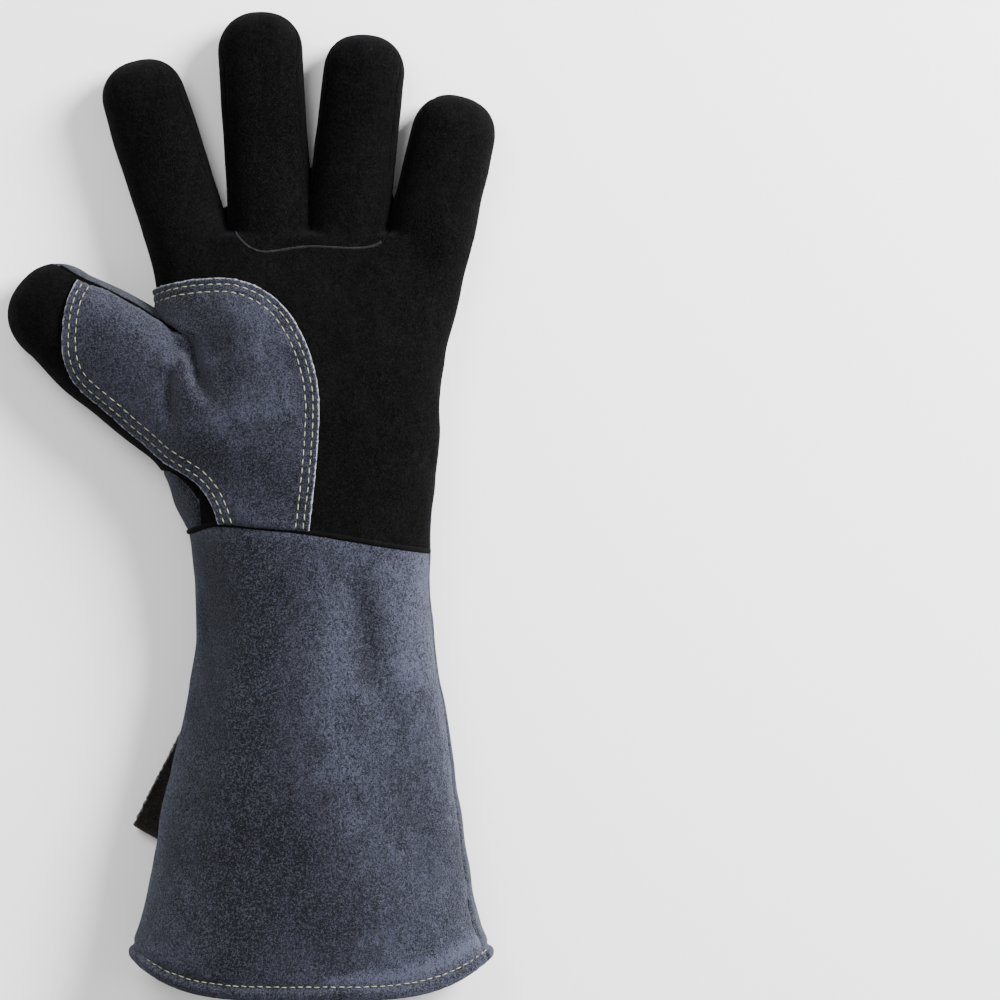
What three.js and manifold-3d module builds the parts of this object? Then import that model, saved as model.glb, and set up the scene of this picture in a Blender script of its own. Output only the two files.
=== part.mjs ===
// A long leather welding gauntlet for the left hand, lying on its back with the palm up.
// Millimetres. +Y points from the hem to the fingertips, the thumb points to -X, +Z is up from the surface.
// The glove is one hollow skin, worked out as a union of tubes. The seams then part that skin into its cut
// panels: a suede back, a black palm, a black front for the middle two fingers, three fourchettes, a thumb
// front and back and a suede cuff front. A suede patch lies on the palm and thumb, three welts of piping lie
// in the cuff's seams, and a hanging loop is sewn into the seam on the thumb side.

import * as THREE from 'three';
import { mergeVertices } from 'three/addons/utils/BufferGeometryUtils.js';
import Module from 'manifold-3d';

const wasm = await Module();
wasm.setup();

// Lengths along the glove, a digit's from its root on the palm's axis to its tip
const cuffLength = 190;
const palmLength = 127;
const indexLength = 72.5;
const middleLength = 89.5;
const ringLength = 80.5;
const littleLength = 56;
const thumbLength = 108;

// Widths of the glove as it lies
const hemWidth = 152;
const wristWidth = 99.5;
const palmWidth = 134;
const fingerWidth = 35;
const thumbWidth = 47;

// Heights above the surface
const hemHeight = 50;
const wristHeight = 42;
const palmHeight = 39;
const fingerHeight = 27;
const thumbHeight = 31;

// Leather, hem, welts and the clearance that parts neighbours
const leather = 1.8;
const patchLeather = 1.6;
const hemFold = 8;
const weltWidth = 1.8;
const weltProud = 0.7;
const weltDepth = 1.3;
const clearance = 0.3;

// The hem's bow, from its corners to its lowest point
const hemBow = 17;
const hemPower = 4;
const hemSteps = 18;

// The hanging loop, from its seam to its fold
const loopReach = 42.5;
const loopWidth = 24;
const loopOpening = 6.4;
const loopLean = 27;
const loopStart = 0.456;
const loopSteps = 12;
const loopBelly = 1.6;
const loopRoundness = 0.7;

const radians = Math.PI / 180;

const suede = new THREE.MeshStandardMaterial({ color: 0x474c5a, roughness: 0.95, metalness: 0 });
const patchSuede = new THREE.MeshStandardMaterial({ color: 0x4b5160, roughness: 0.95, metalness: 0 });
const blackSplit = new THREE.MeshStandardMaterial({ color: 0x131315, roughness: 0.92, metalness: 0 });
const piping = new THREE.MeshStandardMaterial({ color: 0x0b0b0d, roughness: 0.7, metalness: 0 });
const strapLeather = new THREE.MeshStandardMaterial({ color: 0x17140f, roughness: 0.9, metalness: 0 });

// Cuff sections. along is a share of cuffLength from the wrist to the hem. left and right are how far each
// side has flared from the wrist's half width to the hem's, rise is the same for the height, and belly is the
// underside's height as a share of wristHeight.
const cuffRows = [
  { along: 1.06, left: 0.96, right: 1.02, rise: 1.0, belly: -0.07 },
  { along: 0.93, left: 0.99, right: 1.03, rise: 1.0, belly: -0.07 },
  { along: 0.84, left: 0.81, right: 0.76, rise: 0.9, belly: -0.05 },
  { along: 0.72, left: 0.6, right: 0.61, rise: 0.76, belly: 0.02 },
  { along: 0.57, left: 0.39, right: 0.43, rise: 0.6, belly: 0.07 },
  { along: 0.4, left: 0.14, right: 0.26, rise: 0.4, belly: 0.08 },
  { along: 0.24, left: -0.1, right: 0.06, rise: 0.2, belly: 0.05 },
  { along: 0.12, left: -0.08, right: -0.04, rise: 0.06, belly: 0.01 },
];

// Palm sections. along is a share of palmLength from the wrist to the knuckles. left and right are how far
// each side has spread from the wrist's half width to the palm's, and crown and belly are the heights of the
// top and the underside as shares of palmHeight. The last rows close the skin between the fingers.
const palmRows = [
  { along: 0.0, left: 0.05, right: 0.0, crown: 1.06, belly: -0.03 },
  { along: 0.12, left: 0.4, right: 0.07, crown: 1.04, belly: -0.06 },
  { along: 0.3, left: 0.6, right: 0.14, crown: 1.02, belly: -0.08 },
  { along: 0.48, left: 0.62, right: 0.22, crown: 1.0, belly: -0.08 },
  { along: 0.64, left: 0.68, right: 0.44, crown: 0.98, belly: -0.08 },
  { along: 0.78, left: 0.79, right: 0.68, crown: 0.93, belly: -0.08 },
  { along: 0.89, left: 0.96, right: 0.87, crown: 0.84, belly: -0.07 },
  { along: 0.955, left: 0.98, right: 0.92, crown: 0.74, belly: -0.03 },
  { along: 0.99, left: 0.86, right: 0.82, crown: 0.6, belly: 0.1 },
];

// The digits. rootX is a share of half palmWidth and rootY a share of palmLength. lean is the angle from
// straight ahead, in degrees, positive away from the thumb, and wide is a share of fingerWidth.
const fingers = [
  { name: 'index', rootX: -0.779, rootY: 1, lean: -17.7, length: indexLength, wide: 1.0 },
  { name: 'middle', rootX: -0.249, rootY: 1, lean: -3.7, length: middleLength, wide: 1.0 },
  { name: 'ring', rootX: 0.218, rootY: 1, lean: 6.3, length: ringLength, wide: 0.97 },
  { name: 'little', rootX: 0.743, rootY: 1, lean: 12.8, length: littleLength, wide: 1.01 },
];
const thumb = { name: 'thumb', rootX: -0.486, rootY: 0.32, lean: -55, length: thumbLength, wide: 1.0 };

// Sections of a finger, and of the thumb, from the buried root below 0 to the start of the round tip at 1.
// wide is a share of the digit's width, and crown and belly are shares of its height.
const fingerRows = [
  { along: -0.42, wide: 0.86, crown: 1.02, belly: 0.12 },
  { along: -0.14, wide: 1.0, crown: 1.07, belly: -0.02 },
  { along: 0.08, wide: 1.02, crown: 1.06, belly: -0.07 },
  { along: 0.4, wide: 0.99, crown: 1.0, belly: -0.08 },
  { along: 0.75, wide: 1.0, crown: 0.98, belly: -0.08 },
  { along: 1.0, wide: 1.0, crown: 0.95, belly: -0.06 },
];
const thumbRows = [
  { along: -0.08, wide: 0.96, crown: 1.1, belly: 0.1 },
  { along: 0.1, wide: 1.1, crown: 1.14, belly: -0.02 },
  { along: 0.3, wide: 1.12, crown: 1.1, belly: -0.07 },
  { along: 0.58, wide: 1.07, crown: 1.02, belly: -0.08 },
  { along: 0.82, wide: 1.0, crown: 0.98, belly: -0.08 },
  { along: 1.0, wide: 0.89, crown: 0.94, belly: -0.06 },
];

// How far round a tip its sections come, as shares of its length
const tipSteps = [0.35, 0.64, 0.86, 0.98];

// How square the skin's sections are, where 2 is an ellipse, and how high their widest point lies
const crownPower = 2.25;
const waistPower = 2.3;
const waistShare = 0.46;
const bodySides = 28;
const digitSides = 14;

// The seam between the front and the back, as shares of palmHeight at the thumb side and the other side.
// along is a share of cuffLength below the wrist and of palmLength above it.
const frontSeam = [
  { along: -1.1, thumbSide: 0.7, farSide: 0.82 },
  { along: -0.5, thumbSide: 0.66, farSide: 0.72 },
  { along: 0.0, thumbSide: 0.36, farSide: 0.56 },
  { along: 0.45, thumbSide: 0.3, farSide: 0.46 },
  { along: 0.95, thumbSide: 0.21, farSide: 0.34 },
  { along: 1.9, thumbSide: 0.2, farSide: 0.3 },
];

// The seam down the thumb side of the back, from the crotch of the thumb to the hem. across is a share of
// half the wristWidth, along as above.
const sideSeam = [
  { along: 0.66, across: -1.03 },
  { along: 0.4, across: -0.96 },
  { along: 0.1, across: -0.92 },
  { along: -0.2, across: -0.87 },
  { along: -0.5, across: -0.88 },
  { along: -1.1, across: -0.9 },
];

// The wrist seam across the front, where across is a share of half the wristWidth
const wristSeam = [
  { along: 0.01, across: -1.02 },
  { along: 0.036, across: -0.77 },
  { along: 0.027, across: -0.42 },
  { along: 0.013, across: -0.05 },
  { along: -0.017, across: 0.55 },
  { along: -0.036, across: 1.02 },
];

// The outline of the patch over palm and thumb, where across is a share of half the palmWidth and along a
// share of palmLength, counter-clockwise from its corner at the wrist
const patchOutline = [
  { across: -0.01, along: 0.0 },
  { across: 0.045, along: 0.25 },
  { across: 0.06, along: 0.4 },
  { across: 0.045, along: 0.5 },
  { across: -0.03, along: 0.63 },
  { across: -0.165, along: 0.742 },
  { across: -0.315, along: 0.8 },
  { across: -0.545, along: 0.83 },
  { across: -0.8, along: 0.82 },
  { across: -1.02, along: 0.79 },
  { across: -0.93, along: 0.715 },
  { across: -0.84, along: 0.672 },
  { across: -0.975, along: 0.695 },
  { across: -1.11, along: 0.742 },
  { across: -1.31, along: 0.804 },
  { across: -1.43, along: 0.83 },
  { across: -1.49, along: 0.765 },
  { across: -1.52, along: 0.64 },
  { across: -1.47, along: 0.515 },
  { across: -1.215, along: 0.39 },
  { across: -0.907, along: 0.25 },
  { across: -0.63, along: 0.136 },
  { across: -0.55, along: 0.03 },
];

// The front of the middle and ring fingers, from the crotch on one side round their base to the other
const twoFingerBase = [
  { across: -0.5, along: 1.02 },
  { across: -0.44, along: 0.962 },
  { across: -0.31, along: 0.915 },
  { across: 0.0, along: 0.935 },
  { across: 0.27, along: 0.928 },
  { across: 0.44, along: 0.945 },
  { across: 0.49, along: 1.0 },
];

// Where the thumb's back comes round to the front by the wrist
const gussetOutline = [
  { across: -0.42, along: -0.2 },
  { across: -0.64, along: 0.06 },
  { across: -0.93, along: 0.22 },
  { across: -1.3, along: 0.0 },
];

// The line out from the thumb's crotch, clear between the thumb and the index finger
const thumbNotch = [
  { across: -0.9, along: 0.72 },
  { across: -1.08, along: 0.85 },
  { across: -1.5, along: 1.1 },
];

// The thumb's own seam, as shares of thumbHeight at its side by the wrist and its side by the fingers
const thumbSeam = { wristSide: 0.3, fingerSide: 0.74 };

// A fourchette's side view along one finger: along is a share of the finger's length, and level runs from 0
// at its seam with the back to 1 at its seam with the front
const fourchetteOutline = [
  { along: -0.35, level: 0 },
  { along: 0.72, level: 0 },
  { along: 0.93, level: 0.5 },
  { along: 0.72, level: 1 },
  { along: -0.35, level: 1 },
];
const fourchetteSeams = { back: 0.25, front: 0.74 };
const fourchetteReach = 0.72;

const farAway = 2 * (cuffLength + palmLength);

const upwards = new THREE.Vector3(0, 0, 1);
const lerp = (a, b, t) => a + (b - a) * t;
const ahead = (along) => (along < 0 ? along * cuffLength : along * palmLength);
const onPalm = ({ across, along }) => new THREE.Vector2(across * palmWidth / 2, ahead(along));
const onWrist = ({ across, along }) => new THREE.Vector2(across * wristWidth / 2, ahead(along));

// Turns a closed geometry into a solid that can be joined and cut.
function solidOf(geometry) {
  const bare = new THREE.BufferGeometry().setAttribute('position', geometry.getAttribute('position'));
  if (geometry.index) bare.setIndex(geometry.index);
  const merged = mergeVertices(bare, 1e-4);
  return new wasm.Manifold(new wasm.Mesh({
    numProp: 3,
    vertProperties: new Float32Array(merged.attributes.position.array),
    triVerts: new Uint32Array(merged.index.array),
  }));
}

function meshOf(name, solid, material) {
  const { vertProperties, triVerts } = solid.getMesh();
  const geometry = new THREE.BufferGeometry();
  geometry.setAttribute('position', new THREE.BufferAttribute(vertProperties, 3));
  geometry.setIndex(new THREE.BufferAttribute(triVerts, 1));
  const mesh = new THREE.Mesh(geometry, material);
  mesh.name = name;
  return mesh;
}

const joined = (solids) => solids.reduce((sum, solid) => sum.add(solid));

// A squared ellipse in the plane across the direction of lean, as a closed ring of points.
function ring({ x, y, lean, half, low, high }, inset, sides) {
  const waist = lerp(low, high, waistShare);
  const squared = (value, power) => Math.sign(value) * Math.abs(value) ** (2 / power);
  return Array.from({ length: sides }, (_, i) => {
    const angle = (i / sides) * 2 * Math.PI;
    const reach = squared(Math.cos(angle), waistPower) * (half - inset);
    const lift = squared(Math.sin(angle), crownPower);
    const room = lift > 0 ? high - inset - waist : waist - low - inset;
    return new THREE.Vector3(x + Math.cos(lean) * reach, y - Math.sin(lean) * reach, waist + lift * room);
  });
}

// A closed skin over rings of points, with a fan over the first and the last ring.
function tube(rings) {
  const sides = rings[0].length;
  const ends = [rings[0], rings[rings.length - 1]];
  const total = (end) => end.reduce((sum, point) => sum.add(point), new THREE.Vector3());
  const centres = ends.map((end) => total(end).divideScalar(sides));
  const points = [...rings.flat(), ...centres];
  const [first, last] = [points.length - 2, points.length - 1];
  const faces = [];
  for (let i = 0; i < sides; i += 1) {
    const next = (i + 1) % sides;
    for (let start = 0; start < first - sides; start += sides) {
      const [a, b] = [start + i, start + next];
      faces.push(b, a, b + sides, a, a + sides, b + sides);
    }
    faces.push(i, next, first, first - sides + next, first - sides + i, last);
  }
  const geometry = new THREE.BufferGeometry().setFromPoints(points);
  geometry.setIndex(faces);
  return solidOf(geometry);
}

// The sections of the cuff and the palm, from beyond the hem to the closed end between the fingers.
function bodySections() {
  const between = (left, right, wide) => {
    const [toLeft, toRight] = [lerp(wristWidth, wide, left) / 2, lerp(wristWidth, wide, right) / 2];
    return { x: (toRight - toLeft) / 2, half: (toLeft + toRight) / 2, lean: 0 };
  };
  const cuff = cuffRows.map(({ along, left, right, rise, belly }) => ({
    ...between(left, right, hemWidth),
    y: -along * cuffLength,
    low: belly * wristHeight,
    high: lerp(wristHeight, hemHeight, rise),
  }));
  const palm = palmRows.map(({ along, left, right, crown, belly }) => ({
    ...between(left, right, palmWidth),
    y: along * palmLength,
    low: belly * palmHeight,
    high: crown * palmHeight,
  }));
  return [...cuff, ...palm];
}

function bodyTube(inset) {
  const sections = bodySections();
  sections[sections.length - 1].y -= inset;
  return tube(sections.map((section) => ring(section, inset, bodySides)));
}

// A digit from its root to its round tip.
function digitTube(digit, rows, width, height, inset) {
  const lean = digit.lean * radians;
  const root = onPalm({ across: digit.rootX, along: digit.rootY });
  const tipLength = 0.5 * width * digit.wide * rows[rows.length - 1].wide;
  const straight = digit.length - tipLength;
  const section = (distance, { wide, crown, belly }) => ({
    x: root.x + Math.sin(lean) * distance,
    y: root.y + Math.cos(lean) * distance,
    lean,
    half: 0.5 * width * digit.wide * wide,
    low: belly * height,
    high: crown * height,
  });
  const rings = rows.map((row) => ring(section(row.along * straight, row), inset, digitSides));
  for (const step of tipSteps) {
    const shrink = (1 - step ** crownPower) ** (1 / crownPower);
    const whole = section(straight + step * (tipLength - inset), rows[rows.length - 1]);
    const waist = lerp(whole.low, whole.high, waistShare);
    rings.push(ring({
      ...whole,
      half: (whole.half - inset) * shrink,
      low: waist - (waist - whole.low - inset) * shrink,
      high: waist + (whole.high - inset - waist) * shrink,
    }, 0, digitSides));
  }
  return tube(rings);
}

// The whole glove as a solid, drawn in by inset on every side and pressed flat where it rests.
function gloveSolid(inset) {
  const digits = fingers.map((finger) => digitTube(finger, fingerRows, fingerWidth, fingerHeight, inset));
  digits.push(digitTube(thumb, thumbRows, thumbWidth, thumbHeight, inset));
  return joined([bodyTube(inset), ...digits]).trimByPlane([0, 0, 1], inset);
}

// A plan outline moved outwards by grow, with its corners mitred.
function grown(outline, grow) {
  const points = THREE.ShapeUtils.isClockWise(outline) ? [...outline].reverse() : outline;
  return points.map((point, i) => {
    const before = points[(i + points.length - 1) % points.length];
    const after = points[(i + 1) % points.length];
    const outwards = (a, b) => new THREE.Vector2(b.y - a.y, a.x - b.x).normalize();
    const [first, second] = [outwards(before, point), outwards(point, after)];
    const corner = first.clone().add(second).normalize();
    return point.clone().addScaledVector(corner, grow / Math.max(corner.dot(first), 0.5));
  });
}

// All that stands over or under a plan outline, moved outwards by grow.
function prism(outline, grow) {
  const shape = new THREE.Shape(grown(outline, grow));
  const geometry = new THREE.ExtrudeGeometry(shape, { depth: 2 * farAway, bevelEnabled: false });
  return solidOf(geometry.translate(0, 0, -farAway));
}

// Everything above the seam between the front and the back, raised by lift.
function aboveSeam(lift) {
  const points = [];
  for (const { along, thumbSide, farSide } of frontSeam) {
    const slope = ((farSide - thumbSide) * palmHeight) / palmWidth;
    const middle = ((farSide + thumbSide) * palmHeight) / 2;
    for (const x of [-hemWidth, hemWidth]) {
      points.push(new THREE.Vector3(x, ahead(along), middle + slope * x + lift));
      points.push(new THREE.Vector3(x, ahead(along), farAway * 2));
    }
  }
  const faces = [0, 2, 3, 0, 3, 1];
  for (let row = 0; row < points.length - 4; row += 4) {
    for (const [a, b] of [[1, 0], [0, 2], [2, 3], [3, 1]]) {
      faces.push(row + a, row + 4 + b, row + b, row + a, row + 4 + a, row + 4 + b);
    }
  }
  const end = points.length - 4;
  faces.push(end, end + 3, end + 2, end, end + 1, end + 3);
  const geometry = new THREE.BufferGeometry().setFromPoints(points);
  geometry.setIndex(faces);
  return solidOf(geometry);
}

// A strip of the plan along a line of points, half its width to each side.
function stripAlong(line, width) {
  const beside = (side) => line.map((point, i) => {
    const from = line[Math.max(i - 1, 0)];
    const to = line[Math.min(i + 1, line.length - 1)];
    const across = new THREE.Vector2(to.y - from.y, from.x - to.x).normalize();
    return point.clone().addScaledVector(across, (side * width) / 2);
  });
  return prism([...beside(1), ...beside(-1).reverse()], 0);
}

const wristLine = wristSeam.map(onWrist);
const sideLine = sideSeam.map(onWrist);
const far = (x, y) => new THREE.Vector2(x * farAway, y * farAway);

// What wraps round the thumb side, from the front on to the back as far as the side seam
function wrapRegion(grow) {
  return prism([...sideLine, far(-1, -1), new THREE.Vector2(-farAway, sideLine[0].y)], grow);
}

const frontRegion = (grow) => aboveSeam(-grow).add(wrapRegion(grow));

// All that lies on the hem's side of the wrist seam
const cuffRegion = (grow) => prism([...wristLine, far(1, 0), far(1, -1), far(-1, -1), far(-1, 0)], grow);

// The thumb and its root, out from the side seam
function thumbRegion(grow) {
  return prism([...[...sideLine].reverse(), ...thumbNotch.map(onPalm), far(-1, 1), far(-1, -1)], grow);
}

const gussetRegion = (grow) => prism(gussetOutline.map(onPalm), grow);

// The front of the middle and ring fingers, out to beyond their tips between their neighbours
function twoFingerRegion(grow) {
  const base = twoFingerBase.map(onPalm);
  const beyond = (point, first, second) => {
    const lean = ((first.lean + second.lean) / 2) * radians;
    return new THREE.Vector2(point.x + Math.sin(lean) * farAway, point.y + Math.cos(lean) * farAway);
  };
  const [index, middle, ringDigit, little] = fingers;
  const outline = [...base, beyond(base[base.length - 1], ringDigit, little), beyond(base[0], index, middle)];
  return prism(outline, grow).intersect(aboveSeam(-grow));
}

// All beyond the hem's bowed edge, moved up the cuff by rise
function hemRegion(rise) {
  const edge = Array.from({ length: hemSteps + 1 }, (_, i) => {
    const share = (2 * i) / hemSteps - 1;
    return new THREE.Vector2((share * hemWidth) / 2, -cuffLength + hemBow * share ** hemPower + rise);
  });
  return prism([...edge, far(1, 0), far(1, -1), far(-1, -1), far(-1, 0)], 0);
}

// The side of one finger that faces the next: toward is 1 for its far side and -1 for its thumb side.
function fourchetteSide(finger, toward, grow) {
  const level = (share) => lerp(fourchetteSeams.back, fourchetteSeams.front, share) * fingerHeight;
  const side = fourchetteOutline.map((row) => new THREE.Vector2(row.along * finger.length, level(row.level)));
  const depth = fourchetteReach * fingerWidth;
  const shape = new THREE.Shape(grown(side, grow));
  const geometry = new THREE.ExtrudeGeometry(shape, { depth, bevelEnabled: false });
  const lean = finger.lean * radians;
  const forwards = new THREE.Vector3(Math.sin(lean), Math.cos(lean), 0);
  const across = new THREE.Vector3().crossVectors(forwards, upwards);
  const root = onPalm({ across: finger.rootX, along: finger.rootY });
  const place = new THREE.Matrix4().makeBasis(forwards, upwards, across).setPosition(root.x, root.y, 0);
  if (toward < 0) geometry.translate(0, 0, -depth);
  return solidOf(geometry.applyMatrix4(place));
}

// The side of the thumb's seam that faces the front, away from the gusset
function thumbFrontRegion(grow) {
  const lean = thumb.lean * radians;
  const root = onPalm({ across: thumb.rootX, along: thumb.rootY });
  const slope = ((thumbSeam.fingerSide - thumbSeam.wristSide) * thumbHeight) / thumbWidth;
  const middle = ((thumbSeam.fingerSide + thumbSeam.wristSide) * thumbHeight) / 2;
  const across = new THREE.Vector2(Math.cos(lean), -Math.sin(lean));
  const normal = [-slope * across.x, -slope * across.y, 1];
  const height = middle - slope * across.dot(root) - grow;
  const everything = prism([far(1, 1), far(-1, 1), far(-1, -1), far(1, -1)], 0);
  const length = Math.hypot(...normal);
  const above = everything.trimByPlane(normal.map((part) => part / length), height / length);
  return above.subtract(gussetRegion(-grow));
}

// The skin, with its hem turned in
const outer = gloveSolid(0);
const turnedHem = bodyTube(2 * leather).trimByPlane([0, 0, 1], 2 * leather);
const hollow = gloveSolid(leather).subtract(hemRegion(hemFold)).add(turnedHem);
const skin = outer.subtract(hollow).subtract(hemRegion(0));

// The welts and the channels that they lie in
const weltBody = gloveSolid(-weltProud).subtract(gloveSolid(weltDepth)).subtract(hemRegion(0));
const farWall = (width) => aboveSeam(-width / 2).subtract(aboveSeam(width / 2)).trimByPlane([1, 0, 0], 0);
const sideWall = (width) => stripAlong(sideLine, width).trimByPlane([0, 0, -1], -waistShare * wristHeight);
const channel = weltWidth + 2 * clearance;
const wristChannel = stripAlong(wristLine, channel).intersect(frontRegion(0));
const seamChannels = sideWall(channel).add(farWall(channel)).intersect(cuffRegion(0)).add(wristChannel);
const wristWelt = stripAlong(wristLine, weltWidth).intersect(frontRegion(-channel / 2)).intersect(weltBody);
const belowWrist = cuffRegion(-channel / 2).intersect(weltBody);
const thumbSideWelt = sideWall(weltWidth).intersect(belowWrist);
const farSideWelt = farWall(weltWidth).intersect(belowWrist);

// Parts a solid into what lies in a region and the rest, a clearance apart.
function parted(solid, region) {
  return [solid.intersect(region(-clearance / 2)), solid.subtract(region(clearance / 2))];
}

let rest = skin.subtract(seamChannels);
const fourchettes = [];
for (let i = 0; i + 1 < fingers.length; i += 1) {
  const between = (grow) => fourchetteSide(fingers[i], 1, grow).add(fourchetteSide(fingers[i + 1], -1, grow));
  const [fourchette, others] = parted(rest, between);
  fourchettes.push({ name: `fourchette_${fingers[i].name}_${fingers[i + 1].name}`, solid: fourchette });
  rest = others;
}
const [cuffFront, handAndBack] = parted(rest, (grow) => frontRegion(grow).intersect(cuffRegion(0)));
const [thumbSkin, palmAndBack] = parted(handAndBack, thumbRegion);
const [thumbFront, thumbBack] = parted(thumbSkin, thumbFrontRegion);
const [twoFingerPanel, palmAndOthers] = parted(palmAndBack, twoFingerRegion);
const [palmPanel, wholeBack] = parted(palmAndOthers, (grow) => aboveSeam(-grow));

// The back is cut from one hide. It is parted at the wrist here, so that each half is a simpler shape.
const [cuffBack, handBack] = parted(wholeBack, cuffRegion);

// The patch lies on the finished front and stops at the seams that it is sewn into.
const patch = gloveSolid(-clearance - patchLeather)
  .subtract(gloveSolid(-clearance))
  .intersect(prism(patchOutline.map(onPalm), 0))
  .intersect(aboveSeam(-clearance))
  .subtract(cuffRegion(channel / 2));

// The height of the skin's underside at a place on the cuff
function cuffUnderside(x, y) {
  const sections = bodySections().sort((a, b) => a.y - b.y);
  const next = sections.findIndex((section) => section.y > y);
  const at = (key) => {
    const [from, to] = [sections[next - 1], sections[next]];
    return lerp(from[key], to[key], (y - from.y) / (to.y - from.y));
  };
  const reach = Math.min(Math.abs(x - at('x')) / at('half'), 1);
  const waist = lerp(at('low'), at('high'), waistShare);
  return waist - (waist - at('low')) * (1 - reach ** waistPower) ** (1 / crownPower);
}

// The hanging loop is a strap folded in half: a teardrop from the side, run along its width. Its ends are
// sewn under the side seam, and its fold lies on the surface.
function hangingLoop() {
  const y = -loopStart * cuffLength;
  const next = sideLine.findIndex((point) => point.y < y);
  const [from, to] = [sideLine[next - 1], sideLine[next]];
  const x = lerp(from.x, to.x, (y - from.y) / (to.y - from.y));
  const sewnHeight = cuffUnderside(x, y) - clearance - leather;
  const foldHeight = clearance + leather + loopOpening / 2;
  const middle = (share) => lerp(sewnHeight, foldHeight, Math.sin((Math.PI / 2) * share));
  const opening = (share) => (loopOpening / 2) * Math.sin(Math.PI * share ** loopBelly) ** loopRoundness;
  const edge = (side, wall) => Array.from({ length: loopSteps + 1 }, (_, i) => {
    const share = i / loopSteps;
    return new THREE.Vector2(share * loopReach, middle(share) + side * (opening(share) + wall));
  });
  const shape = new THREE.Shape([...edge(-1, leather), ...edge(1, leather).reverse()]);
  shape.holes.push(new THREE.Path([...edge(-1, 0).slice(1, -1), ...edge(1, 0).slice(1, -1).reverse()]));
  const geometry = new THREE.ExtrudeGeometry(shape, { depth: loopWidth, bevelEnabled: false });
  const lean = loopLean * radians;
  const downwards = new THREE.Vector3(-Math.sin(lean), -Math.cos(lean), 0);
  const across = new THREE.Vector3().crossVectors(downwards, upwards);
  geometry.translate(0, 0, -loopWidth / 2);
  geometry.applyMatrix4(new THREE.Matrix4().makeBasis(downwards, upwards, across).setPosition(x, y, 0));
  return solidOf(geometry).intersect(wrapRegion(-channel / 2)).subtract(gloveSolid(-clearance));
}

const glove = new THREE.Group();
const pieces = [
  ['back_panel', handBack, suede],
  ['cuff_back', cuffBack, suede],
  ['palm_panel', palmPanel, blackSplit],
  ['two_finger_panel', twoFingerPanel, blackSplit],
  ...fourchettes.map(({ name, solid }) => [name, solid, blackSplit]),
  ['thumb_front', thumbFront, blackSplit],
  ['thumb_back', thumbBack, suede],
  ['thumb_patch', patch, patchSuede],
  ['cuff_front', cuffFront, suede],
  ['wrist_welt', wristWelt, piping],
  ['thumb_side_welt', thumbSideWelt, piping],
  ['far_side_welt', farSideWelt, piping],
  ['hanging_loop', hangingLoop(), strapLeather],
];
for (const [name, solid, material] of pieces) glove.add(meshOf(name, solid, material));

// The origin is the middle of the bottom of the glove's box.
const box = new THREE.Box3().setFromObject(glove);
const middle = box.getCenter(new THREE.Vector3());
glove.position.set(-middle.x, -middle.y, -box.min.z);

export default glove;
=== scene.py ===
"""A suede and black split-leather welding gauntlet for the left hand, lying palm up on a pale floor.

The whole skin is one field in space: a squared ellipse swept down the cuff and the palm, and one for each
digit, joined by smooth unions. A grid of cells finds the field's surface, the seams' own fields cut that
surface into leather panels, and each panel's edge rolls inwards where it is sewn."""

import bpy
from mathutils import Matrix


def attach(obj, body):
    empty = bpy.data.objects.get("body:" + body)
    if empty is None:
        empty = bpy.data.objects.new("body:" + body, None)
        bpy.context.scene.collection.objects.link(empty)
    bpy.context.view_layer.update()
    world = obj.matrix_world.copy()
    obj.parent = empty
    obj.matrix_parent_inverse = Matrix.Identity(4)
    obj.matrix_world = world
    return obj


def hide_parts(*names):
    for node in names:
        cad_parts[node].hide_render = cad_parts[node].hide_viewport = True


bl_info = {
    "name": "Welding Gauntlet",
    "version": (1, 0, 0),
    "blender": (4, 5, 0),
    "location": "View3D > Sidebar > Gauntlet",
    "description": "A long leather welding gauntlet with sewn panels, a patch, welts and a hanging loop",
    "category": "Add Mesh",
}

import bpy
import numpy as np
from bpy.props import FloatProperty, FloatVectorProperty, IntProperty, PointerProperty

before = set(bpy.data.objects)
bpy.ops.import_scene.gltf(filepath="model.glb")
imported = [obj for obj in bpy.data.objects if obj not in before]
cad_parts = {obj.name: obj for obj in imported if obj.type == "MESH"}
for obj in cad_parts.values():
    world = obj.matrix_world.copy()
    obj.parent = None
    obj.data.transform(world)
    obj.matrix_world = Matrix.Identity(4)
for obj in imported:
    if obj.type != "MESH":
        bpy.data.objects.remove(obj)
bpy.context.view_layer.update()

# Sections of the cuff. along is a share of the cuff's length from the wrist to the hem, left and right how far
# each side has flared from the wrist to the hem, rise the same for the height, belly a share of wrist height.
CUFF_ROWS = (
    dict(along=1.06, left=0.96, right=1.02, rise=1.0, belly=-0.07),
    dict(along=0.93, left=0.99, right=1.03, rise=1.0, belly=-0.07),
    dict(along=0.84, left=0.81, right=0.76, rise=0.9, belly=-0.05),
    dict(along=0.72, left=0.6, right=0.61, rise=0.76, belly=0.02),
    dict(along=0.57, left=0.39, right=0.43, rise=0.6, belly=0.07),
    dict(along=0.4, left=0.14, right=0.26, rise=0.4, belly=0.08),
    dict(along=0.24, left=-0.1, right=0.06, rise=0.2, belly=0.05),
    dict(along=0.12, left=-0.08, right=-0.04, rise=0.06, belly=0.01),
)

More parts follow.
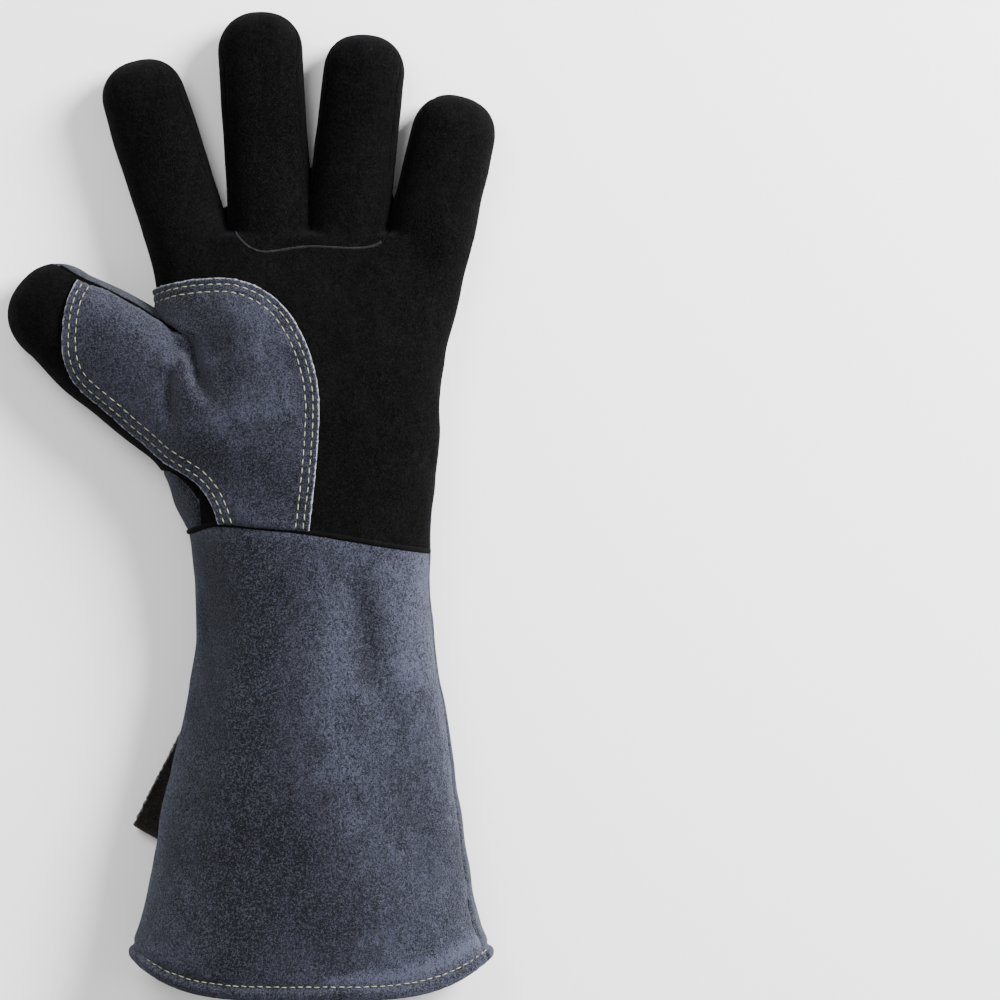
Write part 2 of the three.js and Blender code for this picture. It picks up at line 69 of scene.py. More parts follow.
# Sections of the palm. along is a share of the palm's length from the wrist to the knuckles, left and right how
# far each side has spread from the wrist to the palm, crown and belly shares of the palm's height.
PALM_ROWS = (
    dict(along=0.0, left=0.05, right=0.0, crown=1.06, belly=-0.03),
    dict(along=0.12, left=0.4, right=0.07, crown=1.04, belly=-0.06),
    dict(along=0.3, left=0.6, right=0.14, crown=1.02, belly=-0.08),
    dict(along=0.48, left=0.62, right=0.22, crown=1.0, belly=-0.08),
    dict(along=0.64, left=0.68, right=0.44, crown=0.98, belly=-0.08),
    dict(along=0.78, left=0.79, right=0.68, crown=0.93, belly=-0.08),
    dict(along=0.89, left=0.96, right=0.87, crown=0.84, belly=-0.07),
    dict(along=1.0, left=0.98, right=0.92, crown=0.74, belly=-0.03),
)

# Digits. root is a share of half the palm's width and of its length, lean is in degrees away from the thumb.
FINGERS = {
    "index": dict(root=(-0.779, 1.0), lean=-17.7, wide=1.0),
    "middle": dict(root=(-0.249, 1.0), lean=-3.7, wide=1.0),
    "ring": dict(root=(0.218, 1.0), lean=6.3, wide=0.97),
    "little": dict(root=(0.743, 1.0), lean=12.8, wide=1.01),
}
THUMB = dict(root=(-0.486, 0.32), lean=-55.0, wide=1.0)

FINGER_ROWS = (
    dict(along=-0.42, wide=0.86, crown=1.02, belly=0.12),
    dict(along=-0.14, wide=1.0, crown=1.07, belly=-0.02),
    dict(along=0.08, wide=1.02, crown=1.06, belly=-0.07),
    dict(along=0.4, wide=0.99, crown=1.0, belly=-0.08),
    dict(along=0.75, wide=1.0, crown=0.98, belly=-0.08),
    dict(along=1.0, wide=1.0, crown=0.95, belly=-0.06),
)
THUMB_ROWS = (
    dict(along=-0.08, wide=0.96, crown=1.1, belly=0.1),
    dict(along=0.1, wide=1.1, crown=1.14, belly=-0.02),
    dict(along=0.3, wide=1.12, crown=1.1, belly=-0.07),
    dict(along=0.58, wide=1.07, crown=1.02, belly=-0.08),
    dict(along=0.82, wide=1.0, crown=0.98, belly=-0.08),
    dict(along=1.0, wide=0.89, crown=0.94, belly=-0.06),
)

# Seams. along is a share of the cuff's length below the wrist and of the palm's above it.
FRONT_SEAM = (
    dict(along=-1.1, thumb_side=0.7, far_side=0.82),
    dict(along=-0.5, thumb_side=0.66, far_side=0.72),
    dict(along=0.0, thumb_side=0.36, far_side=0.56),
    dict(along=0.45, thumb_side=0.3, far_side=0.46),
    dict(along=0.95, thumb_side=0.21, far_side=0.34),
    dict(along=1.9, thumb_side=0.2, far_side=0.3),
)
SIDE_SEAM = ((-1.1, -0.9), (-0.5, -0.88), (-0.2, -0.87), (0.1, -0.92), (0.4, -0.96), (0.66, -1.03))
WRIST_SEAM = ((-1.02, 0.01), (-0.77, 0.036), (-0.42, 0.027), (-0.05, 0.013), (0.55, -0.017), (1.02, -0.036))
THUMB_NOTCH = ((-1.5, 1.1), (-1.08, 0.85), (-0.9, 0.72))
GUSSET = (
    (-0.6, -0.2), (-0.665, 0.02), (-0.655, 0.06), (-0.7, 0.125), (-0.79, 0.18), (-0.92, 0.222), (-1.05, 0.15),
    (-1.3, -0.2),
)
THUMB_LINE = (
    (-1.726, 0.909), (-1.603, 0.889), (-1.531, 0.872), (-1.464, 0.85), (-1.369, 0.822), (-1.261, 0.797),
    (-1.154, 0.768), (-1.044, 0.737), (-0.963, 0.7075), (-0.883, 0.679), (-0.7475, 0.6427),
)
TWO_FINGER_BASE = (
    (-0.5, 1.02), (-0.44, 0.962), (-0.31, 0.915), (0.0, 0.935), (0.27, 0.928), (0.44, 0.945), (0.49, 1.0),
)
THUMB_SEAM = dict(wrist_side=0.3, finger_side=0.42)
FOURCHETTE = dict(back=0.25, front=0.74, taper_from=0.7, taper_to=0.95)

# The patch's outline in stretches that meet at corners, as shares of half the palm's width and of its length
PATCH_OUTLINE = (
    ((-0.012, -0.03), (0.045, 0.25), (0.06, 0.4), (0.045, 0.5), (-0.03, 0.63), (-0.165, 0.742), (-0.315, 0.8),
     (-0.545, 0.83), (-0.8, 0.82), (-1.02, 0.79)),
    ((-1.02, 0.79), (-0.96, 0.735), (-0.895, 0.697), (-0.735, 0.64), (-0.883, 0.671), (-0.963, 0.699),
     (-1.044, 0.728), (-1.154, 0.759), (-1.261, 0.788), (-1.369, 0.812), (-1.436, 0.829)),
    ((-1.436, 0.829), (-1.49, 0.765), (-1.52, 0.64), (-1.47, 0.515), (-1.215, 0.39), (-0.907, 0.25),
     (-0.7, 0.172), (-0.63, 0.128), (-0.58, 0.075), (-0.52, -0.02)),
    ((-0.52, -0.02), (-0.3, -0.04), (-0.012, -0.03)),
)

# Folds in hundredths of half the palm's width and of its length, with their depth and width in millimetres
FOLDS = (
    (((-74, 66), (-71, 56), (-66.5, 48.7), (-63, 40)), -3.2, 3.0),
    (((-85.5, 55), (-86.5, 43), (-81.5, 31)), -2.7, 3.1),
    (((-78.5, 60), (-78, 48), (-74, 37)), 1.9, 3.4),
    (((-58, 58), (-55, 47), (-52, 38)), 0.9, 6.0),
    (((-51, 84), (-43.5, 66), (-40, 50), (-40, 36)), 2.0, 8.0),
    (((-66, 36), (-44, 41), (-12, 46), (0, 47)), 1.3, 6.0),
    (((-57, -1), (-63, -20), (-68, -40), (-75, -60), (-84, -92)), -2.6, 11.0),
    (((24, -2), (28, -14), (34, -25), (44, -38), (54, -52)), -2.2, 6.5),
    (((14, -20), (9, -42), (8, -60), (12, -95)), 1.6, 15.0),
    (((62, -50), (66, -64), (74, -84)), -1.0, 8.0),
)

# The hem's bow and how far inside the outline of each piece its stitches run, in millimetres
# Painted light and shade: lines in the same hundredths along which the leather's colour is painted lighter (painted
# highlights and rims) where the value is positive and darker (painted shade on the sides away from the lights, in
# the folds and in the gusset) where it is negative, and how wide
PAINTED_LIGHT_LINES = {
    "cuff": (
        (((-50, 10), (-46, -18), (-43, -49), (-43, -75), (-40, -103)), -0.9, 19.0),
        (((67, 5), (64, -14), (61, -34)), 0.58, 8.0),
        (((-20, -55), (5, -78), (30, -104)), -0.42, 15.0),
        (((14, -8), (16, -27), (19, -44), (26, -57)), 0.3, 7.5),
        (((39, -8), (38, -18), (35, -34)), -0.3, 4.5),
        (((-75, -1), (-71, -23), (-81, -44), (-95, -71), (-108, -92)), 0.6, 4.0),
        (((2, -96), (55, -94.5), (98, -88.5), (117, -82)), 1.1, 3.2),
        (((-117, -86), (-102, -89), (-80, -93)), 0.25, 3.0),
        (((70, -16), (78, -32), (91, -57), (109, -90)), 0.5, 2.6),
        (((55, -49), (67, -62), (74, -75)), -0.12, 8.0),
        (((21, -55), (26, -60), (30, -65)), 0.2, 4.0),
        (((-80, 1), (-30, 1), (20, 0), (85, -3)), 0.35, 2.6),
    ),
    "patch": (
        (((-92, 82), (-65, 71), (-54, 58), (-53, 41)), -0.62, 8.0),
        (((-59, 76), (-28, 67), (-19, 50), (-30, 36)), 0.25, 6.0),
        (((-16, 64), (-4, 50), (0, 36)), -0.35, 4.0),
        (((0, 42), (-37, 40), (-68, 36)), 0.42, 4.0),
        (((-80, 27), (-43, 24), (-13, 14), (-6, 2)), -0.48, 8.0),
        (((-142, 81), (-117, 72), (-93, 63), (-74, 54)), 0.42, 4.6),
        (((-139, 70), (-123, 57), (-105, 46), (-93, 38)), -0.3, 5.0),
        (((-83, 65), (-79, 56), (-76, 45), (-73, 37)), -0.65, 2.4),
        (((-93, 56), (-88, 46), (-84, 38)), -0.5, 2.4),
    ),
    "thumb_back_leather": (
        (((-100, 30), (-83, 15), (-73, 3), (-66, -12)), -0.9, 12.0),
        (((-190, 98), (-140, 86), (-100, 74), (-60, 58)), -0.4, 7.0),
    ),
}

HEM_BOW, HEM_POWER = 17.0, 4
HEM_STITCH, HEM_BAND = 5.6, 2.2
PATCH_ROWS = (2.6, 5.6)
PATCH_LIFT, PATCH_LEATHER = 0.25, 1.6
LEATHER = 1.8

# Squareness of the sections, the height of their widest point, and the reach of the smooth unions
CROWN_POWER, WAIST_POWER, RADIUS_POWER, WAIST = 2.25, 2.3, 2.28, 0.46
BETWEEN_FINGERS, INTO_HAND, ON_FLOOR = 0.6, 2.2, 4.0
THUMB_WEB = dict(wrist_side=9.0, finger_side=1.8)

# Levels of the distance to a panel's edge where its mesh is refined, and how the edge is turned in
EDGE_LEVELS = (-0.3, -0.8, -1.5, -2.6)
EDGE_TURN, EDGE_REACH = 1.4, 2.6
BLACK_TURN, BLACK_REACH = 0.5, 1.2

CELL = 1.3
SNAP = 0.16
WRIST_AT = np.array((24.696, -13.124, 0.073))
TO_METRES = 0.001
THREAD_RADIUS = 0.21
SKIN = {}


def smooth_column(at, knots, values):
    """Cubic through the knots whose slope at a knot is the mean of the chords' beside it, or 0 at a turn."""
    knots, values = np.asarray(knots, float), np.asarray(values, float)
    chords = np.diff(values) / np.diff(knots)
    slopes = np.concatenate([chords[:1], (chords[1:] + chords[:-1]) / 2, chords[-1:]])
    slopes[1:-1][chords[1:] * chords[:-1] <= 0] = 0
    at = np.clip(at, knots[0], knots[-1])
    i = np.clip(np.searchsorted(knots, at) - 1, 0, len(knots) - 2)
    span = knots[i + 1] - knots[i]
    t = (at - knots[i]) / span
    start = (1 + 2 * t) * (1 - t) ** 2 * values[i] + t * (1 - t) ** 2 * span * slopes[i]
    return start + t * t * (3 - 2 * t) * values[i + 1] + t * t * (t - 1) * span * slopes[i + 1]


def smooth_step(value, low, high):
    """0 below low and 1 above high, with 3t^2 - 2t^3 between."""
    t = np.clip((value - low) / (high - low), 0, 1)
    return t * t * (3 - 2 * t)


def blend_min(a, b, reach):
    """The smaller of two distances, rounded by h^2 * reach / 4 where they differ by less than reach."""
    h = np.clip(reach - np.abs(a - b), 0, None) / reach
    return np.minimum(a, b) - h * h * reach / 4


def blend_max(a, b, reach):
    return -blend_min(-a, -b, reach)


def noise(points, wavelength, seed):
    """A sum of eight sine waves in seeded directions, about -1 to 1, with the given wavelength."""
    draw = np.random.default_rng(seed)
    total = np.zeros(len(points))
    for _ in range(8):
        direction = draw.normal(size=3)
        direction *= 2 * np.pi / (wavelength * np.linalg.norm(direction)) * draw.uniform(0.7, 1.4)
        total += np.sin(points @ direction + draw.uniform(0, 2 * np.pi))
    return total / 4


def section_distance(across, high_by, past, half, rise, cap):
    """First-order distance to |u|^2.3 + |v|^2.25 + |w|^2.25 = 1: (r - 1) / |grad r|, r the 2.28th root."""
    u, v, w = np.abs(across) / half, np.abs(high_by) / rise, np.maximum(past, 0) / cap
    total = np.maximum(u ** WAIST_POWER + v ** CROWN_POWER + w ** CROWN_POWER, 1e-3)
    radius = total ** (1 / RADIUS_POWER)
    slope = total ** (1 / RADIUS_POWER - 1) / RADIUS_POWER
    grad = np.sqrt((WAIST_POWER * u ** (WAIST_POWER - 1) / half) ** 2
                   + (CROWN_POWER * v ** (CROWN_POWER - 1) / rise) ** 2
                   + (CROWN_POWER * w ** (CROWN_POWER - 1) / cap) ** 2)
    return (radius - 1) / np.maximum(slope * grad, 0.35 / np.maximum(half, rise))


class Glove:
    """The glove's sizes in millimetres, its skin's distance field and the fields of its seams."""

    def __init__(self, sizes):
        for name in sizes.bl_rna.properties.keys():
            if name not in ("rna_type", "name"):
                setattr(self, name, getattr(sizes, name) / TO_METRES)
        self.lengths = {
            "index": self.index_length, "middle": self.middle_length, "ring": self.ring_length,
            "little": self.little_length, "thumb": self.thumb_length,
        }
        cuff = [(-row["along"] * self.cuff_length, row["left"], row["right"], self.hem_width,
                 row["belly"] * self.wrist_height,
                 self.wrist_height + row["rise"] * (self.hem_height - self.wrist_height)) for row in CUFF_ROWS]
        palm = [(row["along"] * self.palm_length, row["left"], row["right"], self.palm_width,
                 row["belly"] * self.palm_height, row["crown"] * self.palm_height) for row in PALM_ROWS]
        rows = np.array(sorted(cuff + palm))
        left = (self.wrist_width + rows[:, 1] * (rows[:, 3] - self.wrist_width)) / 2
        right = (self.wrist_width + rows[:, 2] * (rows[:, 3] - self.wrist_width)) / 2
        self.body_rows = rows[:, 0], (right - left) / 2, (right + left) / 2, rows[:, 4], rows[:, 5]

    def ahead(self, along):
        along = np.asarray(along, float)
        return np.where(along < 0, along * self.cuff_length, along * self.palm_length)

    def on_palm(self, line):
        line = np.array(line)
        return np.stack([line[:, 0] * self.palm_width / 2, self.ahead(line[:, 1])], 1)

    def body(self, points):
        """The cuff and the palm: sections across y, closed between the fingers over the last few millimetres."""
        y = points[:, 1]
        knots, centres, halves, lows, highs = self.body_rows
        centre, half, low, high = (smooth_column(y, knots, c) for c in (centres, halves, lows, highs))
        waist = low + WAIST * (high - low)
        lift = points[:, 2] - waist
        rise = np.where(lift > 0, high - waist, waist - low)
        closing = 0.955 * self.palm_length
        return section_distance(points[:, 0] - centre, lift, y - closing, half, rise, 4.6)

    def digit_frame(self, name, points):
        """A digit's own axes: how far along from its root, and how far across away from the thumb."""
        digit = THUMB if name == "thumb" else FINGERS[name]
        root = self.on_palm([digit["root"]])[0]
        lean = np.radians(digit["lean"])
        x, y = points[:, 0] - root[0], points[:, 1] - root[1]
        return x * np.sin(lean) + y * np.cos(lean), x * np.cos(lean) - y * np.sin(lean)

    def digit(self, name, points):
        """One digit: sections along its own axis, with a round tip and a rounded root."""
        digit, rows, width, height = (
            (THUMB, THUMB_ROWS, self.thumb_width, self.thumb_height) if name == "thumb"
            else (FINGERS[name], FINGER_ROWS, self.finger_width, self.finger_height)
        )
        along, across = self.digit_frame(name, points)
        width *= digit["wide"]
        tip = 0.5 * width * rows[-1]["wide"]
        straight = self.lengths[name] - tip
        knots = [row["along"] * straight for row in rows]
        wide, crown, belly = (
            smooth_column(along, knots, [row[key] for row in rows]) for key in ("wide", "crown", "belly")
        )
        low, high = belly * height, crown * height
        waist = low + WAIST * (high - low)
        lift = points[:, 2] - waist
        rise = np.where(lift > 0, high - waist, waist - low)
        past = np.maximum(along - straight, (knots[0] - along) * tip / 8)
        return section_distance(across, lift, past, 0.5 * width * wide, rise, tip)

    def skin(self, points):
        """The whole skin: smooth unions of the digits with the hand, pressed flat on the surface."""
        fingers = self.digit("index", points)
        for name in ("middle", "ring", "little"):
            fingers = blend_min(fingers, self.digit(name, points), BETWEEN_FINGERS)
        hand = blend_min(self.body(points), fingers, INTO_HAND)
        finger_side = smooth_step(self.digit_frame("thumb", points)[1], -6, 10)
        web = THUMB_WEB["wrist_side"] + finger_side * (THUMB_WEB["finger_side"] - THUMB_WEB["wrist_side"])
        hand = blend_min(hand, self.digit("thumb", points), web)
        return blend_max(hand, -points[:, 2], ON_FLOOR)

    def outwards(self, points):
        """Unit normals of the skin's field by central differences of 0.2 mm."""
        step = 0.2
        slopes = [self.skin(points + step * axis) - self.skin(points - step * axis) for axis in np.eye(3)]
        normals = np.stack(slopes, 1)
        return normals / np.maximum(np.linalg.norm(normals, axis=1, keepdims=True), 1e-9)

    def seam_height(self, x, y):
        """The height of the seam between front and back, straight across from one side to the other."""
        knots = [self.ahead(row["along"]) for row in FRONT_SEAM]
        thumb_side = smooth_column(y, knots, [row["thumb_side"] for row in FRONT_SEAM])
        far_side = smooth_column(y, knots, [row["far_side"] for row in FRONT_SEAM])
        middle = (thumb_side + far_side) / 2 * self.palm_height
        return middle + x * (far_side - thumb_side) * self.palm_height / self.palm_width

    def above(self, points):
        return self.seam_height(points[:, 0], points[:, 1]) - points[:, 2]

    def side_line(self, y):
        """How far across the seam down the thumb side of the back lies."""
        knots = [self.ahead(along) for along, _ in SIDE_SEAM]
        return smooth_column(y, knots, [share * self.wrist_width / 2 for _, share in SIDE_SEAM])

    def wrap(self, points):
        end = self.ahead(SIDE_SEAM[-1][0])
        return np.maximum(points[:, 0] - self.side_line(points[:, 1]), points[:, 1] - end)

    def wrist_line(self, x):
        across = [share * self.wrist_width / 2 for share, _ in WRIST_SEAM]
        return smooth_column(x, across, self.ahead([along for _, along in WRIST_SEAM]))

    def cuff(self, points):
        return points[:, 1] - self.wrist_line(points[:, 0])

    def hem_line(self, x):
        """The hem's edge: bowed by the fourth power of the distance from its middle."""
        return -self.cuff_length + HEM_BOW * np.abs(x / (self.hem_width / 2)) ** HEM_POWER

    def hem(self, points):
        """About the distance up from the hem's edge, squeezed by the edge's slope."""
        x = points[:, 0]
        slope = HEM_BOW * HEM_POWER * np.abs(x) ** (HEM_POWER - 1) / (self.hem_width / 2) ** HEM_POWER
        return (points[:, 1] - self.hem_line(x)) / np.sqrt(1 + slope ** 2)

    def front(self, points):
        return np.minimum(self.above(points), self.wrap(points))

    def cuff_front(self, points):
        return np.maximum(self.front(points), self.cuff(points))

    def thumb_skin(self, points):
        """Out from the side seam and the line through the thumb's crotch, above the wrist."""
        side = [(self.side_line(y), y) for y in np.linspace(-20, self.ahead(0.655), 24)]
        notch = self.on_palm(THUMB_NOTCH[::-1])
        outline = np.concatenate([side, notch, [(-300, 300), (-300, -20)]])
        return np.maximum(polygon_distance(points, outline), -self.cuff(points))

    def thumb_front(self, points):
        """The thumb's front: above a plane tilted across the thumb, inside the line of its seam in the plan
        and away from the gusset by the wrist."""
        across = self.digit_frame("thumb", points)[1]
        slope = (THUMB_SEAM["finger_side"] - THUMB_SEAM["wrist_side"]) * self.thumb_height / self.thumb_width
        middle = (THUMB_SEAM["finger_side"] + THUMB_SEAM["wrist_side"]) / 2 * self.thumb_height
        below = middle + slope * across - points[:, 2]
        gusset = polygon_distance(points, rounded(self.on_palm(GUSSET)))
        line = np.concatenate([smooth_line(self.on_palm(THUMB_LINE), 50), [(-20, -60), (-160, -60), (-160, 118)]])
        others = [below, -gusset, polygon_distance(points, line), self.thumb_skin(points)]
        return np.maximum.reduce(others)

    def thumb_back(self, points):
        return np.maximum(self.thumb_skin(points), -self.thumb_front(points))

    def two_fingers(self, points):
        """The front of the middle and ring fingers, down to the seam round their base."""
        base = smooth_line(self.on_palm(TWO_FINGER_BASE), 40)
        ends = []
        for at, names in ((base[-1], ("ring", "little")), (base[0], ("index", "middle"))):
            lean = np.radians(np.mean([FINGERS[name]["lean"] for name in names]))
            ends.append(at + 300 * np.array((np.sin(lean), np.cos(lean))))
        region = polygon_distance(points, np.concatenate([base, ends]))
        return np.maximum(np.maximum(region, self.above(points)), -self.fourchettes(points))

    def fourchette(self, first, second, points):
        """The sides of two fingers that face each other: a band between two heights, tapering to the tips."""
        low, high = FOURCHETTE["back"] * self.finger_height, FOURCHETTE["front"] * self.finger_height
        sides = []
        for name, toward in ((first, 1), (second, -1)):
            along, across = self.digit_frame(name, points)
            length = self.lengths[name]
            start, end = FOURCHETTE["taper_from"] * length, FOURCHETTE["taper_to"] * length
            taper = np.clip((along - start) / (end - start), 0, 1.4)
            room = (high - low) / 2 * (1 - taper ** 2)
            band = np.abs(points[:, 2] - (low + high) / 2) - room
            reach = np.maximum(-toward * across, toward * across - 0.75 * self.finger_width)
            sides.append(np.maximum(np.maximum(band, reach), -0.35 * length - along))
        return np.minimum(*sides)

    def fourchettes(self, points):
        names = list(FINGERS)
        fields = [self.fourchette(a, b, points) for a, b in zip(names, names[1:])]
        return np.minimum(np.minimum(*fields[:2]), fields[2])

    def palm(self, points):
        others = [self.cuff(points), self.thumb_skin(points), self.two_fingers(points), self.fourchettes(points)]
        return np.maximum(self.above(points), -np.minimum.reduce(others))

    def back(self, points):
        others = [self.above(points), self.cuff_front(points), self.thumb_skin(points), self.fourchettes(points)]
        return -np.minimum.reduce(others)

    def patch_outline(self):
        return np.concatenate([smooth_line(self.on_palm(part), 60)[:-1] for part in PATCH_OUTLINE])

    def patch_edges(self, points):
        """Plan distances to the patch's raw edges and to those that are sewn into a seam."""
        distances = []
        for part in PATCH_OUTLINE:
            line = smooth_line(self.on_palm(part), 60)
            distances.append(segment_distance(points, line[:-1], line[1:])[0].min(1))
        raw, notch, thumb, wrist = distances
        sewn = [notch, wrist, -self.above(points), self.cuff(points) + 0.4]
        return np.minimum(raw, thumb), np.minimum.reduce(sewn)

    def patch(self, points):
        """Inside the patch's outline, above the seams it is sewn into."""
        outline = polygon_distance(points, self.patch_outline())
        return np.maximum(np.maximum(outline, self.above(points)), -0.4 - self.cuff(points))

    def relief(self, points, normals):
        """How far the leather stands out of its plain form: folds by the thumb, slack and soft dents."""
        top = smooth_step(normals[:, 2], 0.1, 0.6)
        bare = smooth_step(self.hem(points), 4, 26)
        slack = 0.55 * noise(points, 62, 3) + 0.34 * noise(points, 27, 5) + 0.12 * noise(points, 12, 8)
        on_digits = smooth_step(points[:, 1], 95, 125)
        total = slack * (0.35 + 0.65 * bare) * (1 - 0.45 * on_digits)
        for line, depth, width in FOLDS:
            total += top * fold(points, self.local(line), depth, width)
        return total * smooth_step(points[:, 2], 0.3, 4)

    def local(self, line):
        """A line of picture-plane places in hundredths of the palm's width and length, as points."""
        return self.on_palm([(x / 100, y / 100) for x, y in line])


def smooth_line(points, count):
    """A Catmull-Rom style curve through the points, sampled evenly along its chords."""
    points = np.asarray(points, float)
    along = np.concatenate([[0], np.cumsum(np.linalg.norm(np.diff(points, axis=0), axis=1))])
    at = np.linspace(0, along[-1], count)
    return np.stack([smooth_column(at, along, column) for column in points.T], 1)


def rounded(outline, rounds=2):
    """A closed outline with its corners cut at a quarter and three quarters of each side, twice over."""
    for _ in range(rounds):
        after = np.roll(outline, -1, axis=0)
        outline = np.stack([0.75 * outline + 0.25 * after, 0.25 * outline + 0.75 * after], 1).reshape(-1, 2)
    return outline


def segment_distance(points, starts, ends):
    """Plan distance from each point to each segment, and how far along the segment the nearest place is."""
    way = ends - starts
    off = points[:, None, :2] - starts[None]
    share = np.clip((off * way).sum(2) / np.maximum((way * way).sum(1), 1e-12), 0, 1)
    return np.linalg.norm(off - share[..., None] * way[None], axis=2), share


def polygon_distance(points, outline, far=16.0):
    """Plan distance to a closed outline, negative inside by the even-odd rule, capped at far outside its box."""
    low, high = outline.min(0) - far, outline.max(0) + far
    result = np.full(len(points), far)
    near = np.flatnonzero(((points[:, :2] > low) & (points[:, :2] < high)).all(1))
    starts, ends = outline, np.roll(outline, -1, axis=0)
    for rows in np.array_split(near, max(1, len(near) * len(outline) // 1500000)):
        some = points[rows]
        distance = segment_distance(some, starts, ends)[0].min(1)
        y = some[:, 1:2]
        spans = (starts[:, 1] > y) != (ends[:, 1] > y)
        rise = np.where(ends[:, 1] == starts[:, 1], 1, ends[:, 1] - starts[:, 1])
        crossing = starts[:, 0] + (y - starts[:, 1]) / rise * (ends[:, 0] - starts[:, 0])
        inside = (spans & (some[:, :1] < crossing)).sum(1) % 2 == 1
        result[rows] = np.where(inside, -distance, distance)
    return result


def fold(points, line, depth, width, ends=(0.2, 0.55)):
    """A valley or ridge of the given depth along a plan line, bell-shaped across and fading at its ends."""
    line = smooth_line(line, 24)
    result = np.zeros(len(points))
    near = np.flatnonzero(((points[:, :2] > line.min(0) - 3 * width)
                           & (points[:, :2] < line.max(0) + 3 * width)).all(1))
    if not len(near):
        return result
    distance, share = segment_distance(points[near], line[:-1], line[1:])
    nearest = distance.argmin(1)
    rows = np.arange(len(near))
    along = (nearest + share[rows, nearest]) / (len(line) - 1)
    fade = smooth_step(along, 0, ends[0]) * (1 - smooth_step(along, ends[1], 1))
    result[near] = depth * np.exp(-(distance[rows, nearest] / width) ** 2) * fade
    return result


def surface_of(field, low, high, cell):
    """The zero surface of a field on a grid of cells: each cell that the surface crosses gets one point, the
    mean of the places where its edges cross, and each crossed grid edge gets the quad of the cells round it."""
    axes = [np.arange(a, b, cell) for a, b in zip(low, high)]
    shape = tuple(len(axis) for axis in axes)
    grid = np.stack(np.meshgrid(*axes, indexing="ij"), -1)
    values = near_values(field, grid, cell)
    inside = values < 0
    cells = tuple(n - 1 for n in shape)
    total, count = np.zeros(cells + (3,)), np.zeros(cells)
    crossings = []
    for axis in range(3):
        first = tuple(slice(0, -1) if a == axis else slice(None) for a in range(3))
        second = tuple(slice(1, None) if a == axis else slice(None) for a in range(3))
        crossed = inside[first] != inside[second]
        share = np.where(crossed, values[first] / np.where(crossed, values[first] - values[second], 1), 0)
        place = grid[first].copy()
        place[..., axis] += share * cell
        place *= crossed[..., None]
        b, c = (axis + 1) % 3, (axis + 2) % 3
        for step_b in (0, 1):
            for step_c in (0, 1):
                part = [slice(None)] * 3
                part[b] = slice(step_b, step_b + cells[b])
                part[c] = slice(step_c, step_c + cells[c])
                total += place[tuple(part)]
                count += crossed[tuple(part)]
        crossings.append((axis, b, c, crossed, inside[first]))
    index = np.full(cells, -1)
    index[count > 0] = np.arange((count > 0).sum())
    points = total[count > 0] / count[count > 0][:, None]
    quads = []
    for axis, b, c, crossed, starts_inside in crossings:
        middle = [slice(None)] * 3
        middle[b], middle[c] = slice(1, -1), slice(1, -1)
        at = np.argwhere(crossed[tuple(middle)])
        at[:, b] += 1
        at[:, c] += 1
        corners = []
        for step_b, step_c in ((-1, -1), (0, -1), (0, 0), (-1, 0)):
            corner = at.copy()
            corner[:, b] += step_b
            corner[:, c] += step_c
            corners.append(index[tuple(corner.T)])
        quad = np.stack(corners, 1)
        quads.append(np.where(starts_inside[tuple(at.T)][:, None], quad, quad[:, ::-1]))
    return points, np.concatenate(quads)


def near_values(field, grid, cell):
    """The field on a grid: each eighth point first, and the rest only where those are within reach of 0."""
    step = 5
    coarse = field(grid[::step, ::step, ::step].reshape(-1, 3)).reshape(grid[::step, ::step, ::step].shape[:3])
    for axis in range(3):
        coarse = coarse.repeat(step, axis)
    values = coarse[tuple(slice(0, n) for n in grid.shape[:3])].copy()
    near = np.abs(values) < 1.9 * step * cell
    values[near] = field(grid[near])
    return values


def split(table, faces, level, at=0.0):
    """Cuts the triangles along level = at. Each crossed edge gets one row of the table, mixed in proportion.
    Rows within SNAP of the line are moved on to it by name only. Returns the table, faces and levels."""
    level = np.where(np.abs(level - at) < SNAP, at, level)
    sign = np.sign(level - at)[faces]
    crossed = sign * np.roll(sign, -1, axis=1) < 0
    count = crossed.sum(1)
    if not count.any():
        return table, faces, level
    ends = np.sort(np.stack([faces, np.roll(faces, -1, axis=1)], 2)[crossed], axis=1)
    keys, inverse = np.unique(ends[:, 0] * len(table) + ends[:, 1], return_inverse=True)
    a, b = keys // len(table), keys % len(table)
    share = ((at - level[a]) / (level[b] - level[a]))[:, None]
    added = table[a] + share * (table[b] - table[a])
    names = np.full(faces.shape, -1)
    names[crossed] = len(table) + inverse.ravel()
    lone = (crossed & np.roll(crossed, 1, axis=1)).argmax(1)
    start = np.where(count == 2, lone, crossed.argmax(1))
    order = (np.arange(3) + start[:, None]) % 3
    turned, named = np.take_along_axis(faces, order, 1), np.take_along_axis(names, order, 1)
    one, two = turned[count == 1], turned[count == 2]
    new_one, new_two = named[count == 1, 0], named[count == 2]
    pieces = [
        faces[count == 0],
        np.stack([one[:, 0], new_one, one[:, 2]], 1), np.stack([new_one, one[:, 1], one[:, 2]], 1),
        np.stack([two[:, 0], new_two[:, 0], new_two[:, 2]], 1),
        np.stack([new_two[:, 0], two[:, 1], two[:, 2]], 1),
        np.stack([new_two[:, 0], two[:, 2], new_two[:, 2]], 1),
    ]
    return (np.concatenate([table, added]), np.concatenate(pieces),
            np.concatenate([level, np.full(len(added), at)]))


def compact(table, faces, *columns):
    used, inverse = np.unique(faces, return_inverse=True)
    return (table[used], inverse.reshape(faces.shape)) + tuple(column[used] for column in columns)


def rim_of(faces):
    """The directed edges that only one triangle has."""
    edges = np.concatenate([faces[:, [0, 1]], faces[:, [1, 2]], faces[:, [2, 0]]])
    many = faces.max() + 1
    keys, back = edges[:, 0] * many + edges[:, 1], edges[:, 1] * many + edges[:, 0]
    return edges[~np.isin(keys, back)]


